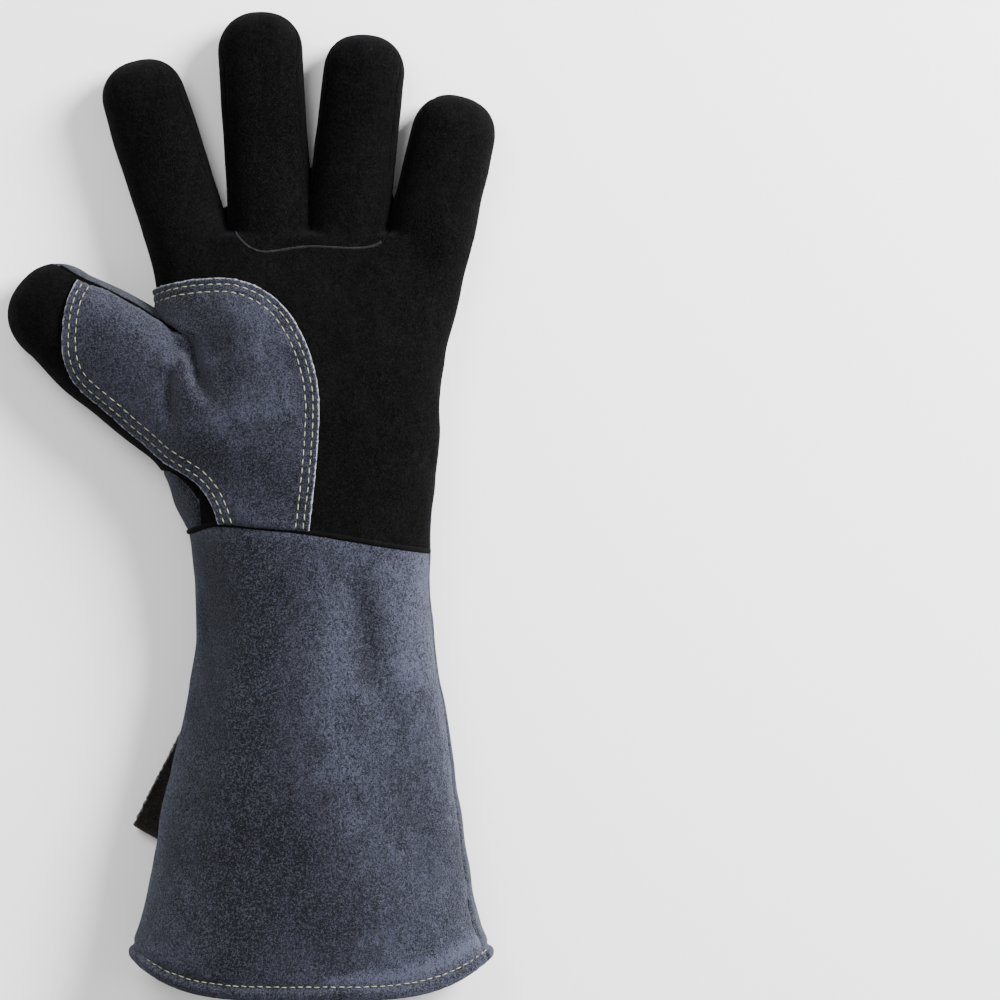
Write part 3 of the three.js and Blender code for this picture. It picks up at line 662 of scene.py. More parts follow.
def closed_shell(outer, inner, faces):
    """An outer skin, its inner copy turned round, and a strip of triangles along each free edge."""
    rim = rim_of(faces)
    many = len(outer)
    strip = np.concatenate([
        np.stack([rim[:, 1], rim[:, 0], rim[:, 0] + many], 1),
        np.stack([rim[:, 1], rim[:, 0] + many, rim[:, 1] + many], 1),
    ])
    return np.concatenate([outer, inner]), np.concatenate([faces, faces[:, ::-1] + many, strip])


def relaxed(glove, points, quads, rounds=3):
    """Each point moves to the mean of its neighbours and then back on to the skin along its slope."""
    edges = np.concatenate([quads[:, [0, 1]], quads[:, [1, 2]], quads[:, [2, 3]], quads[:, [3, 0]]])
    edges = np.concatenate([edges, edges[:, ::-1]])
    number = np.bincount(edges[:, 0], minlength=len(points))[:, None]
    held = np.zeros(len(points), bool)
    quad_edges = np.sort(edges[: len(edges) // 2], axis=1)
    keys, times = np.unique(quad_edges[:, 0] * len(points) + quad_edges[:, 1], return_counts=True)
    held[keys[times == 1] // len(points)] = True
    held[keys[times == 1] % len(points)] = True
    for _ in range(rounds):
        total = np.stack([np.bincount(edges[:, 0], points[edges[:, 1], axis], len(points)) for axis in range(3)], 1)
        points = np.where(held[:, None], points, 0.5 * points + 0.5 * total / number)
        for _ in range(2):
            points = points - glove.skin(points)[:, None] * glove.outwards(points)
    return points


def triangles(points, quads):
    """Each quad is cut along its shorter diagonal."""
    corners = points[quads]
    first = np.linalg.norm(corners[:, 0] - corners[:, 2], axis=1)
    second = np.linalg.norm(corners[:, 1] - corners[:, 3], axis=1)
    ways = np.where((first <= second)[:, None, None],
                    np.array([[0, 1, 2], [0, 2, 3]])[None], np.array([[1, 2, 3], [1, 3, 0]])[None])
    return np.take_along_axis(quads[:, None, :].repeat(2, 1), ways, 2).reshape(-1, 3)


def glove_skin(glove):
    """The whole skin as a table of places and normals, with its triangles, cut at the hem."""
    if "table" not in SKIN:
        half = glove.hem_width / 2 + 8
        reach = glove.palm_length + glove.middle_length + 5
        points, quads = surface_of(glove.skin, (-half - 56, -glove.cuff_length - 6, -2), (half, reach, 56), CELL)
        points = relaxed(glove, points, quads)
        faces = triangles(points, quads)
        table = np.concatenate([points, glove.outwards(points)], 1)
        level = -glove.hem(table)
        table, faces, level = split(table, faces, level)
        keep = level[faces].sum(1) < 0
        table, faces, level = compact(table, faces[keep], level)
        for at in (-0.35, -0.9, -1.8, -3.2, -HEM_STITCH):
            table, faces, level = split(table, faces, level, at)
        SKIN["table"], SKIN["faces"], SKIN["hem"] = table, faces, -level
    return SKIN["table"], SKIN["faces"], SKIN["hem"]


def turn(distance, depth, reach):
    """How far an edge is turned in: a quarter of an ellipse, depth at the edge and 0 from reach on."""
    t = np.clip(1 - distance / reach, 0, 1)
    return depth * (1 - np.sqrt(1 - t * t))


def panel_shape(glove, field, depth=EDGE_TURN, reach=EDGE_REACH):
    """A leather panel: the part of the skin where field < 0, its edges turned in, with a wall of leather. At
    the hem the leather is folded back inside and so twice as thick."""
    table, faces, hem = glove_skin(glove)
    table = np.concatenate([table, hem[:, None]], 1)
    table, faces, level = split(table, faces, field(table))
    table, faces, level = compact(table, faces[level[faces].sum(1) < 0], level)
    for at in EDGE_LEVELS:
        table, faces, level = split(table, faces, level, at)
    points, hem = table[:, :3], table[:, 6]
    normals = table[:, 3:6] / np.linalg.norm(table[:, 3:6], axis=1, keepdims=True)
    wave = 1 + 0.22 * noise(points, 9, 21) + 0.12 * noise(points, 4.5, 22)
    seam_turn = turn(-level, depth, reach) * wave
    hem_turn = turn(hem, LEATHER, 2.2)
    lift = glove.relief(points, normals) - np.maximum(seam_turn, hem_turn)
    lift -= 1.0 * np.exp(-((hem - HEM_STITCH) / 1.5) ** 2) - 0.35 * smooth_step(hem, 1, 3) * (
        1 - smooth_step(hem, HEM_STITCH - 2, HEM_STITCH))
    folded = 1 - smooth_step(hem, 13.5, 14.5)
    thickness = LEATHER * (1 + folded) - 2 * hem_turn * folded
    outer = points + lift[:, None] * normals
    inner = outer - np.maximum(thickness, 0.02)[:, None] * normals
    shape = closed_shell(outer, inner, faces)
    return shape + (np.concatenate([-level, -level]), np.repeat([0.0, 1.0], len(outer)))


def patch_shape(glove):
    """The patch: the skin inside its outline, lifted on to the panels, drawn down along its rows of stitches
    and a little puffed between them, with a frayed raw edge, or a turned one where it is sewn into a seam."""
    table, faces, _ = glove_skin(glove)
    chosen = (table[faces, 2].mean(1) > 4) & (table[faces, 1].mean(1) > -4) & (table[faces, 0].mean(1) < 10)
    table, faces = compact(table, faces[chosen & (table[faces, 5].mean(1) > -0.4)])
    table, faces, level = split(table, faces, glove.patch(table))
    table, faces, level = compact(table, faces[level[faces].sum(1) < 0], level)
    for at in (-0.35, -0.8, -1.6, -PATCH_ROWS[0], -4.1, -PATCH_ROWS[1], -6.8):
        table, faces, level = split(table, faces, level, at)
    points = table[:, :3]
    normals = table[:, 3:6] / np.linalg.norm(table[:, 3:6], axis=1, keepdims=True)
    raw, sewn = glove.patch_edges(points)
    height = patch_height(raw, sewn, points)
    base = points + glove.relief(points, normals)[:, None] * normals
    frayed = np.exp(-raw / 0.5) * (0.28 * noise(points, 1.6, 31) + 0.22 * noise(points, 3.7, 32))
    sideways = np.stack([noise(points, 2.1, 33), noise(points, 2.1, 34), np.zeros(len(points))], 1)
    outer = base + height[:, None] * normals + frayed[:, None] * sideways
    under = np.minimum(PATCH_LIFT, height - 0.1)
    inner = base + under[:, None] * normals + 0.5 * frayed[:, None] * sideways
    shape = closed_shell(outer, inner, faces)
    return shape + (np.concatenate([raw, raw]), np.repeat([0.0, 1.0], len(outer)))


def patch_height(raw, sewn, points):
    """The patch's height over the panels: its lift and its leather, rounded at a raw edge, lower under each
    row of stitches, puffed further in, and turned down at a sewn edge."""
    rows = sum(np.exp(-((raw - row) / 0.75) ** 2) for row in PATCH_ROWS)
    puff = 0.35 * smooth_step(raw, 6, 15)
    share = 1 - 0.3 * np.exp(-raw / 0.3) - 0.28 * rows + puff + 0.05 * noise(points, 6, 35)
    return PATCH_LIFT + PATCH_LEATHER * share - turn(np.maximum(sewn, 0), 1.9, 2.4)


def on_skin(glove, points, rounds=4):
    """Places moved on to the skin along its slope."""
    for _ in range(rounds):
        points = points - glove.skin(points)[:, None] * glove.outwards(points)
    return points


def girth(glove, angles, plan_line, rise=0.0):
    """Places round the skin at the given section angles, where y follows a plan line of x."""
    knots, centres, halves, lows, highs = glove.body_rows
    y = np.full(len(angles), plan_line(np.zeros(1))[0] + rise)
    across = np.sign(np.cos(angles)) * np.abs(np.cos(angles)) ** (2 / WAIST_POWER)
    lift = np.sign(np.sin(angles)) * np.abs(np.sin(angles)) ** (2 / CROWN_POWER)
    for _ in range(4):
        centre, half, low, high = (smooth_column(y, knots, c) for c in (centres, halves, lows, highs))
        x = centre + half * across
        y = plan_line(x) + rise
    waist = low + WAIST * (high - low)
    z = waist + lift * np.where(lift > 0, high - waist, waist - low)
    return on_skin(glove, np.stack([x, y, np.maximum(z, 0.5)], 1))


def evenly(line, step):
    """The line's points again at even steps along it."""
    along = np.concatenate([[0], np.cumsum(np.linalg.norm(np.diff(line, axis=0), axis=1))])
    at = np.linspace(0, along[-1], max(2, int(round(along[-1] / step)) + 1))
    return np.stack([np.interp(at, along, column) for column in line.T], 1)


def frames_along(line, normals):
    """Unit tangents, sides and normals along a line that lies on a surface with the given normals."""
    tangents = np.gradient(line, axis=0)
    tangents /= np.linalg.norm(tangents, axis=1, keepdims=True)
    sides = np.cross(tangents, normals)
    sides /= np.linalg.norm(sides, axis=1, keepdims=True)
    return tangents, sides, np.cross(sides, tangents)


def cord_shape(line, normals, radii, sides=12):
    """A round cord: a circle of the given radii carried along the line, closed by a point at each end."""
    tangents, across, up = frames_along(line, normals)
    angle = np.arange(sides) * 2 * np.pi / sides
    ring = np.cos(angle)[None, :, None] * across[:, None] + np.sin(angle)[None, :, None] * up[:, None]
    rings = line[:, None] + radii[:, None, None] * ring
    count = len(line)
    i, j = np.meshgrid(np.arange(count - 1), np.arange(sides), indexing="ij")
    k = (j + 1) % sides
    a, b, c, d = i * sides + j, i * sides + k, (i + 1) * sides + k, (i + 1) * sides + j
    faces = np.concatenate([np.stack([a, d, c], -1).reshape(-1, 3), np.stack([a, c, b], -1).reshape(-1, 3)])
    first, last = count * sides, count * sides + 1
    j = np.arange(sides)
    k = (j + 1) % sides
    end = (count - 1) * sides
    caps = np.concatenate([
        np.stack([np.full(sides, first), j, k], 1), np.stack([np.full(sides, last), end + k, end + j], 1),
    ])
    tips = np.stack([line[0] - 0.3 * tangents[0] * radii[0], line[-1] + 0.3 * tangents[-1] * radii[-1]])
    return np.concatenate([rings.reshape(-1, 3), tips]), np.concatenate([faces, caps])


def stitch_shape(line, normals, pitch, length, lift=0.0, sides=6, sections=6):
    """Dashes of thread along a line: each is a round cord that arches out of the leather and dives back in,
    at height 0.3 sin(pi t)^0.6 - 0.12 millimetres, t from 0 to 1 along the dash."""
    along = np.concatenate([[0], np.cumsum(np.linalg.norm(np.diff(line, axis=0), axis=1))])
    count = max(1, int(along[-1] / pitch))
    draw = np.random.default_rng(41 + count)
    starts = (np.arange(count) + 0.5) * along[-1] / count + draw.uniform(-0.14, 0.14, count)
    t = np.linspace(0, 1, sections)
    at = starts[:, None] + (t - 0.5) * (length * draw.uniform(0.88, 1.08, count))[:, None]
    pick = [np.interp(at, along, column) for column in np.concatenate([line, normals], 1).T]
    place, normal = np.stack(pick[:3], -1), np.stack(pick[3:], -1)
    normal /= np.linalg.norm(normal, axis=2, keepdims=True)
    tangent = np.gradient(place, axis=1)
    tangent /= np.linalg.norm(tangent, axis=2, keepdims=True)
    side = np.cross(tangent, normal)
    place = place + normal * (0.3 * np.sin(np.pi * t) ** 0.6 - 0.12 + lift)[None, :, None]
    place = place + side * (draw.uniform(-0.16, 0.16, (count, 2)) @ np.array([1 - t, t]))[..., None]
    radius = THREAD_RADIUS * (0.55 + 0.45 * np.sin(np.pi * t) ** 0.4)
    angle = np.arange(sides) * 2 * np.pi / sides
    ring = (np.cos(angle)[:, None] * side[:, :, None] + np.sin(angle)[:, None] * normal[:, :, None])
    points = place[:, :, None] + radius[None, :, None, None] * ring
    i, j = np.meshgrid(np.arange(sections - 1), np.arange(sides), indexing="ij")
    k = (j + 1) % sides
    a, b, c, d = i * sides + j, i * sides + k, (i + 1) * sides + k, (i + 1) * sides + j
    one = np.concatenate([np.stack([a, d, c], -1).reshape(-1, 3), np.stack([a, c, b], -1).reshape(-1, 3)])
    j = np.arange(1, sides - 1)
    end = (sections - 1) * sides
    one = np.concatenate([one, np.stack([j * 0, j, j + 1], 1), np.stack([j * 0 + end, end + j + 1, end + j], 1)])
    faces = (one[None] + (np.arange(count) * sections * sides)[:, None, None]).reshape(-1, 3)
    return points.reshape(-1, 3), faces


def joined(shapes):
    """Several shapes as one."""
    starts = np.cumsum([0] + [len(points) for points, _ in shapes[:-1]])
    return (np.concatenate([points for points, _ in shapes]),
            np.concatenate([faces + start for start, (_, faces) in zip(starts, shapes)]))


def build(name, shape, material, nodes=()):
    """Puts a shape in millimetres into a mesh in metres, at its place in the frame, and says what it is."""
    points, faces = shape[:2]
    mesh = bpy.data.meshes.new(name)
    mesh.vertices.add(len(points))
    mesh.vertices.foreach_set("co", ((points + WRIST_AT) * TO_METRES).astype(np.float32).ravel())
    mesh.loops.add(faces.size)
    mesh.loops.foreach_set("vertex_index", faces.astype(np.int32).ravel())
    mesh.polygons.add(len(faces))
    mesh.polygons.foreach_set("loop_start", np.arange(len(faces), dtype=np.int32) * 3)
    mesh.polygons.foreach_set("use_smooth", np.ones(len(faces), bool))
    for key, values in zip(("inside_edge", "lining"), shape[2:]):
        mesh.attributes.new(key, "FLOAT", "POINT").data.foreach_set("value", np.asarray(values, np.float32))
    # Painted light and shade for this piece: its lines summed into a point attribute that lightens and darkens its
    # colour
    painted_shading = np.zeros(len(points))
    for line, value, width in PAINTED_LIGHT_LINES.get(name, ()):
        painted_shading += fold(points, sized().local(line), value, width, (0.12, 0.85))
    mesh.attributes.new("painted_light_and_shade", "FLOAT", "POINT").data.foreach_set("value", painted_shading.astype(np.float32))
    mesh.update(calc_edges=True)
    mesh.validate()
    mesh.materials.append(material)
    piece = bpy.data.objects.new(name, mesh)
    bpy.context.collection.objects.link(piece)
    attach(piece, "root")
    if nodes:
        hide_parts(*nodes)
    return piece


def node(tree, kind, settings=None, **inputs):
    """Adds a node, sets its settings, and sets or links its inputs by name (underscores for spaces)."""
    made = tree.nodes.new(kind)
    for key, value in (settings or {}).items():
        setattr(made, key, value)
    for key, value in inputs.items():
        socket = made.inputs[int(key[1:])] if key[0] == "_" else made.inputs[key.replace("_", " ")]
        if isinstance(value, bpy.types.NodeSocket):
            tree.links.new(value, socket)
        else:
            socket.default_value = value
    return made


def group(name, inputs, outputs):
    """An empty shader group with the given sockets, and its input and output nodes."""
    tree = bpy.data.node_groups.new(name, "ShaderNodeTree")
    for key, (kind, default) in inputs.items():
        socket = tree.interface.new_socket(key, in_out="INPUT", socket_type="NodeSocket" + kind)
        socket.default_value = default
    for key, kind in outputs.items():
        tree.interface.new_socket(key, in_out="OUTPUT", socket_type="NodeSocket" + kind)
    return tree, tree.nodes.new("NodeGroupInput").outputs, tree.nodes.new("NodeGroupOutput").inputs


def math(tree, operation, a, b=0.0):
    return node(tree, "ShaderNodeMath", {"operation": operation}, _0=a, _1=b).outputs[0]


def ranged(tree, value, low, high, to_low=0.0, to_high=1.0):
    made = node(tree, "ShaderNodeMapRange", {"interpolation_type": "SMOOTHSTEP"},
                Value=value, From_Min=low, From_Max=high, To_Min=to_low, To_Max=to_high)
    return made.outputs[0]


def mixed(tree, share, a, b):
    made = node(tree, "ShaderNodeMix", {"data_type": "RGBA"})
    for socket, value in ((made.inputs[0], share), (made.inputs[6], a), (made.inputs[7], b)):
        if isinstance(value, bpy.types.NodeSocket):
            tree.links.new(value, socket)
        else:
            socket.default_value = value
    return made.outputs[2]


def noise_at(tree, place, scale, detail=2.0, rough=0.55, stretch=None, turned=(0, 0, 0), warp=0.0):
    """Noise on the piece's own place, with its grain stretched and turned if asked."""
    if stretch:
        place = node(tree, "ShaderNodeMapping", None, Vector=place, Scale=stretch, Rotation=turned).outputs[0]
    return node(tree, "ShaderNodeTexNoise", None, Vector=place, Scale=scale, Detail=detail, Roughness=rough,
                Distortion=warp).outputs[0]


def curls(tree, place, scale, width):
    """Short curled fibres: where a warped noise crosses its middle value, broken up by a second noise."""
    level = math(tree, "ABSOLUTE", math(tree, "SUBTRACT", noise_at(tree, place, scale, 1, 0.5, warp=1.8), 0.5))
    line = math(tree, "SUBTRACT", 1.0, ranged(tree, level, 0.0, width))
    return math(tree, "MULTIPLY", line, ranged(tree, noise_at(tree, place, 0.9 * scale + 77, 1), 0.5, 0.62))


def nap_group():
    """The napped face of split leather: broad clouds, brushed patches, pile and short loose fibres.

    Color runs from Dark over Base to Light with the sum of the clouds, the patches and the pile. Fibres are
    thin streaks of noise above a threshold. Height is the pile with the fibres on top."""
    tree, given, result = group("nap", {
        "Dark": ("Color", (0.02, 0.02, 0.03, 1)), "Base": ("Color", (0.05, 0.06, 0.08, 1)),
        "Light": ("Color", (0.12, 0.13, 0.16, 1)), "Fibre": ("Color", (0.3, 0.32, 0.36, 1)),
        "Raw": ("Color", (0.35, 0.36, 0.38, 1)), "Clouds": ("Float", 1.0), "Pile": ("Float", 1.0),
        "Fibres": ("Float", 1.0), "Edge": ("Float", 0.6), "Edge width": ("Float", 0.6),
    }, {"Color": "Color", "Height": "Float", "Roughness": "Float"})
    place = node(tree, "ShaderNodeTexCoord").outputs["Object"]
    clouds = noise_at(tree, place, 14, 2, 0.5, warp=0.4)
    patches = noise_at(tree, place, 80, 4, 0.65, (1, 0.5, 1), (0, 0, 0.35), 0.8)
    brushed = noise_at(tree, place, 260, 3, 0.6, (1, 0.45, 1), (0, 0, -0.3), 1.2)
    pile = noise_at(tree, place, 1250, 3, 0.65, (1, 0.6, 1), (0, 0, 0.5), 1.0)
    grain = noise_at(tree, place, 2200, 2, 0.6)
    broad = math(tree, "ADD", math(tree, "MULTIPLY", math(tree, "SUBTRACT", clouds, 0.5), 1.0),
                 math(tree, "MULTIPLY", math(tree, "SUBTRACT", patches, 0.5), 1.1))
    broad = math(tree, "MULTIPLY", math(
        tree, "ADD", broad, math(tree, "MULTIPLY", math(tree, "SUBTRACT", brushed, 0.5), 1.0)), given["Clouds"])
    fine = math(tree, "ADD", math(tree, "MULTIPLY", math(tree, "SUBTRACT", pile, 0.5), 2.2),
                math(tree, "MULTIPLY", math(tree, "SUBTRACT", grain, 0.5), 2.0))
    # Painted light and shade from the mesh: it moves the colour towards Light where positive and towards Dark where
    # negative, and deepens the pile's contrast in the painted highlights
    painted_shading = node(tree, "ShaderNodeAttribute", {"attribute_name": "painted_light_and_shade"}).outputs["Fac"]
    depth = math(tree, "MULTIPLY", given["Pile"], ranged(tree, painted_shading, -0.8, 0.9, 0.45, 1.9))
    shade = math(tree, "ADD", math(tree, "ADD", broad, math(tree, "MULTIPLY", fine, depth)),
                 math(tree, "ADD", math(tree, "MULTIPLY", painted_shading, 0.75), 0.47))
    colour = mixed(tree, ranged(tree, shade, 0.0, 0.52), given["Dark"], given["Base"])
    colour = mixed(tree, ranged(tree, shade, 0.48, 1.55), colour, given["Light"])
    loose = math(tree, "MAXIMUM", curls(tree, place, 1000, 0.036), curls(tree, place, 1600, 0.05))
    loose = math(tree, "MULTIPLY", loose, given["Fibres"])
    colour = mixed(tree, loose, colour, given["Fibre"])
    edge = node(tree, "ShaderNodeAttribute", {"attribute_name": "inside_edge"}).outputs["Fac"]
    uneven = math(tree, "MULTIPLY", given["Edge width"], ranged(tree, noise_at(tree, place, 900, 3), 0.3, 0.75,
                                                                0.25, 2.2))
    rim = math(tree, "MULTIPLY", math(tree, "SUBTRACT", 1.0, ranged(tree, math(
        tree, "DIVIDE", edge, uneven), 0.3, 1.0)), given["Edge"])
    colour = mixed(tree, rim, colour, given["Raw"])
    tree.links.new(colour, result["Color"])
    height = math(tree, "ADD", math(tree, "MULTIPLY", fine, 0.6), math(tree, "MULTIPLY", loose, 0.5))
    tree.links.new(math(tree, "ADD", height, math(tree, "MULTIPLY", broad, 0.3)), result["Height"])
    tree.links.new(ranged(tree, shade, 0.0, 1.0, 1.0, 0.84), result["Roughness"])
    return tree


def rubbed_group():
    """Wrinkles: Height is a warped cell pattern, low along the cells' borders, over a soft wave."""
    tree, given, result = group("wrinkles", {"Scale": ("Float", 90.0)}, {"Height": "Float"})
    place = node(tree, "ShaderNodeTexCoord").outputs["Object"]
    warp = node(tree, "ShaderNodeTexNoise", None, Vector=place, Scale=55.0, Detail=2.0).outputs[1]
    moved = node(tree, "ShaderNodeVectorMath", {"operation": "MULTIPLY_ADD"}, _0=warp,
                 _1=(0.02, 0.02, 0.02), _2=place).outputs[0]
    cells = node(tree, "ShaderNodeTexVoronoi", {"feature": "SMOOTH_F1"}, Vector=moved,
                 Scale=given["Scale"], Smoothness=0.8).outputs["Distance"]
    wave = noise_at(tree, place, 38, 3, 0.5)
    tree.links.new(math(tree, "ADD", math(tree, "MULTIPLY", cells, -0.6), wave), result["Height"])
    return tree


def shared(name, make):
    return bpy.data.node_groups.get(name) or make()


def leather(name, shades, looks, sheen, sheen_tint, specular, relief=0.5):
    """A split leather: the nap's colour and pile, with wrinkles under it and a soft sheen at its edges."""
    found = bpy.data.materials.get(name)
    if found:
        return found
    material = bpy.data.materials.new(name)
    material.use_nodes = True
    tree = material.node_tree
    shader = tree.nodes["Principled BSDF"]
    nap = node(tree, "ShaderNodeGroup", {"node_tree": shared("nap", nap_group)})
    for key, value in zip(("Dark", "Base", "Light", "Fibre", "Raw"), shades):
        nap.inputs[key].default_value = (*value, 1)
    for key, value in looks.items():
        nap.inputs[key].default_value = value
    wrinkles = node(tree, "ShaderNodeGroup", {"node_tree": shared("wrinkles", rubbed_group)})
    coarse = node(tree, "ShaderNodeBump", None, Strength=0.35, Distance=0.0012, Height=wrinkles.outputs["Height"])
    fine = node(tree, "ShaderNodeBump", None, Strength=relief, Distance=0.0006, Height=nap.outputs["Height"],
                Normal=coarse.outputs[0])
    tree.links.new(nap.outputs["Color"], shader.inputs["Base Color"])
    tree.links.new(nap.outputs["Roughness"], shader.inputs["Roughness"])
    tree.links.new(fine.outputs[0], shader.inputs["Normal"])
    shader.inputs["Sheen Weight"].default_value = sheen
    shader.inputs["Sheen Roughness"].default_value = 0.45
    shader.inputs["Sheen Tint"].default_value = (*sheen_tint, 1)
    shader.inputs["Specular IOR Level"].default_value = specular
    return material


def suede():
    colours = bpy.context.scene.gauntlet_colours
    base = np.array(colours.suede)
    shades = (base * 0.22, base, base * 5.4, base * 6.2, (0.16, 0.17, 0.19))
    return leather("napped suede", shades, {"Edge": 0.35, "Edge width": 0.5, "Pile": 1.3}, 0.16,
                   (0.8, 0.84, 1.0), 0.04, 1.0)


def patch_suede():
    colours = bpy.context.scene.gauntlet_colours
    base = np.array(colours.patch)
    shades = (base * 0.22, base, base * 5.0, base * 5.8, (0.24, 0.25, 0.27))
    return leather("patch suede", shades, {"Edge": 0.95, "Edge width": 0.55, "Clouds": 1.1, "Pile": 1.3},
                   0.16, (0.8, 0.84, 1.0), 0.04, 1.0)


def black_split():
    base = np.array(bpy.context.scene.gauntlet_colours.black)
    shades = (base * 0.5, base, base * 2.6, base * 7, base * 3)
    return leather("black split leather", shades, {"Edge": 0.1, "Fibres": 0.6, "Clouds": 1.0}, 0.01,
                   (0.8, 0.8, 1.0), 0.02, 0.5)


def highlit_seam_lip():
    # The black leather made 2 to 14 times lighter: a painted highlight along the seam's edge where it catches the
    # light
    base = np.array(bpy.context.scene.gauntlet_colours.black)
    shades = (base * 2, base * 5, base * 9, base * 14, base * 14)
    return leather("seam lip with painted highlight", shades, {"Edge": 0.0, "Clouds": 1.4}, 0.05, (0.8, 0.8, 1.0), 0.1, 0.5)


def strap_leather():
    base = np.array(bpy.context.scene.gauntlet_colours.strap)
    shades = (base * 0.5, base, base * 2.2, base * 6, (0.13, 0.13, 0.125))
    return leather("strap leather", shades, {"Edge": 0.8, "Edge width": 0.6, "Fibres": 0.8}, 0.1,
                   (1.0, 0.95, 0.9), 0.08)


def piping():
    base = np.array(bpy.context.scene.gauntlet_colours.black)
    shades = (base * 0.4, base * 0.7, base * 1.5, base * 3, base * 4)
    return leather("black piping", shades, {"Edge": 0.0, "Fibres": 0.3, "Clouds": 0.5}, 0.01, (0.8, 0.8, 1.0), 0.06, 0.3)


def thread():
    """Waxed thread: a strand pattern across the thread, a little darker where it is dirty."""
    found = bpy.data.materials.get("thread")
    if found:
        return found
    material = bpy.data.materials.new("thread")
    material.use_nodes = True
    tree = material.node_tree
    shader = tree.nodes["Principled BSDF"]
    colour = bpy.context.scene.gauntlet_colours.thread
    place = node(tree, "ShaderNodeTexCoord").outputs["Object"]
    dirt = noise_at(tree, place, 320, 3, 0.6)
    strands = noise_at(tree, place, 3600, 1, 0.5)
    shade = math(tree, "ADD", math(tree, "MULTIPLY", dirt, 0.8), math(tree, "MULTIPLY", strands, 0.4))
    tree.links.new(mixed(tree, ranged(tree, shade, 0.3, 0.8), tuple(0.45 * c for c in colour) + (1,),
                         tuple(colour) + (1,)), shader.inputs["Base Color"])
    bump = node(tree, "ShaderNodeBump", None, Strength=0.5, Distance=0.0002, Height=strands)
    tree.links.new(bump.outputs[0], shader.inputs["Normal"])
    shader.inputs["Roughness"].default_value = 0.75
    shader.inputs["Specular IOR Level"].default_value = 0.3
    return material


def floor_material():
    material = bpy.data.materials.new("floor")
    material.use_nodes = True
    tree = material.node_tree
    shader = tree.nodes["Principled BSDF"]
    place = node(tree, "ShaderNodeTexCoord").outputs["Object"]
    tint = mixed(tree, noise_at(tree, place, 3, 2), (0.92, 0.92, 0.92, 1), (0.95, 0.95, 0.95, 1))
    tree.links.new(tint, shader.inputs["Base Color"])
    shader.inputs["Roughness"].default_value = 0.8
    shader.inputs["Specular IOR Level"].default_value = 0.1
    return material


def length(name, default, about):
    return FloatProperty(name=name, description=about, default=default, min=0.001, unit="LENGTH", precision=4)


class GauntletSizes(bpy.types.PropertyGroup):
    cuff_length: length("Cuff length", 0.19, "From the wrist to the lowest point of the hem")
    palm_length: length("Palm length", 0.127, "From the wrist to the knuckles")
    index_length: length("Index length", 0.0725, "From its root on the palm's axis to its tip")
    middle_length: length("Middle length", 0.0895, "From its root on the palm's axis to its tip")
    ring_length: length("Ring length", 0.0805, "From its root on the palm's axis to its tip")
    little_length: length("Little length", 0.056, "From its root on the palm's axis to its tip")
    thumb_length: length("Thumb length", 0.108, "From its root on the palm to its tip")
    hem_width: length("Hem width", 0.152, "Across the hem as the glove lies")
    wrist_width: length("Wrist width", 0.0995, "Across the wrist as the glove lies")
    palm_width: length("Palm width", 0.134, "Across the knuckles as the glove lies")
    finger_width: length("Finger width", 0.035, "Across one finger")
    thumb_width: length("Thumb width", 0.047, "Across the thumb")
    hem_height: length("Hem height", 0.05, "From the surface to the top of the hem")
    wrist_height: length("Wrist height", 0.042, "From the surface to the top of the wrist")
    palm_height: length("Palm height", 0.039, "From the surface to the top of the palm")
    finger_height: length("Finger height", 0.027, "From the surface to the top of a finger")
    thumb_height: length("Thumb height", 0.031, "From the surface to the top of the thumb")


def colour(name, default, about):
    return FloatVectorProperty(name=name, description=about, default=default, size=3, min=0, max=1, subtype="COLOR")


class GauntletColours(bpy.types.PropertyGroup):
    suede: colour("Suede", (0.0104, 0.0112, 0.0168), "The napped leather of the back and the cuff")
    patch: colour("Patch", (0.0086, 0.0092, 0.0141), "The napped leather of the patch over palm and thumb")
    black: colour("Black", (0.0016, 0.00155, 0.00155), "The split leather of the palm and the fingers' fronts")
    strap: colour("Strap", (0.008, 0.007, 0.006), "The hanging loop")
    thread: colour("Thread", (0.29, 0.3, 0.195), "The stitches")


class LoopSizes(bpy.types.PropertyGroup):
    reach: length("Reach", 0.0425, "From its seam to its fold")
    width: length("Width", 0.024, "Across the strap")
    opening: length("Opening", 0.0064, "The widest gap between its two layers")
    lean: FloatProperty(name="Lean", description="How far it hangs away from straight down the cuff",
                        default=np.radians(27.0), subtype="ANGLE")


def sized():
    return Glove(bpy.context.scene.gauntlet_sizes)


class GAUNTLET_OT_backs(bpy.types.Operator):
    """The back of the hand and cuff in one leather, and the back of the thumb"""
    bl_idname = "gauntlet.backs"
    bl_label = "Backs"

    def execute(self, context):
        glove = sized()
        build("back", panel_shape(glove, glove.back), suede(), ("back_panel", "cuff_back"))
        build("thumb_back_leather", panel_shape(glove, glove.thumb_back), suede(), ("thumb_back",))
        return {"FINISHED"}


class GAUNTLET_OT_fronts(bpy.types.Operator):
    """The black palm with the index and little fingers' fronts, the two middle fingers' front, the thumb's"""
    bl_idname = "gauntlet.fronts"
    bl_label = "Black fronts"

    def execute(self, context):
        glove = sized()
        for name, field, carried in (("palm", glove.palm, "palm_panel"),
                                     ("two_finger_front", glove.two_fingers, "two_finger_panel"),
                                     ("thumb_front_leather", glove.thumb_front, "thumb_front")):
            build(name, panel_shape(glove, field, BLACK_TURN, BLACK_REACH), black_split(),
                  (carried,))
        return {"FINISHED"}


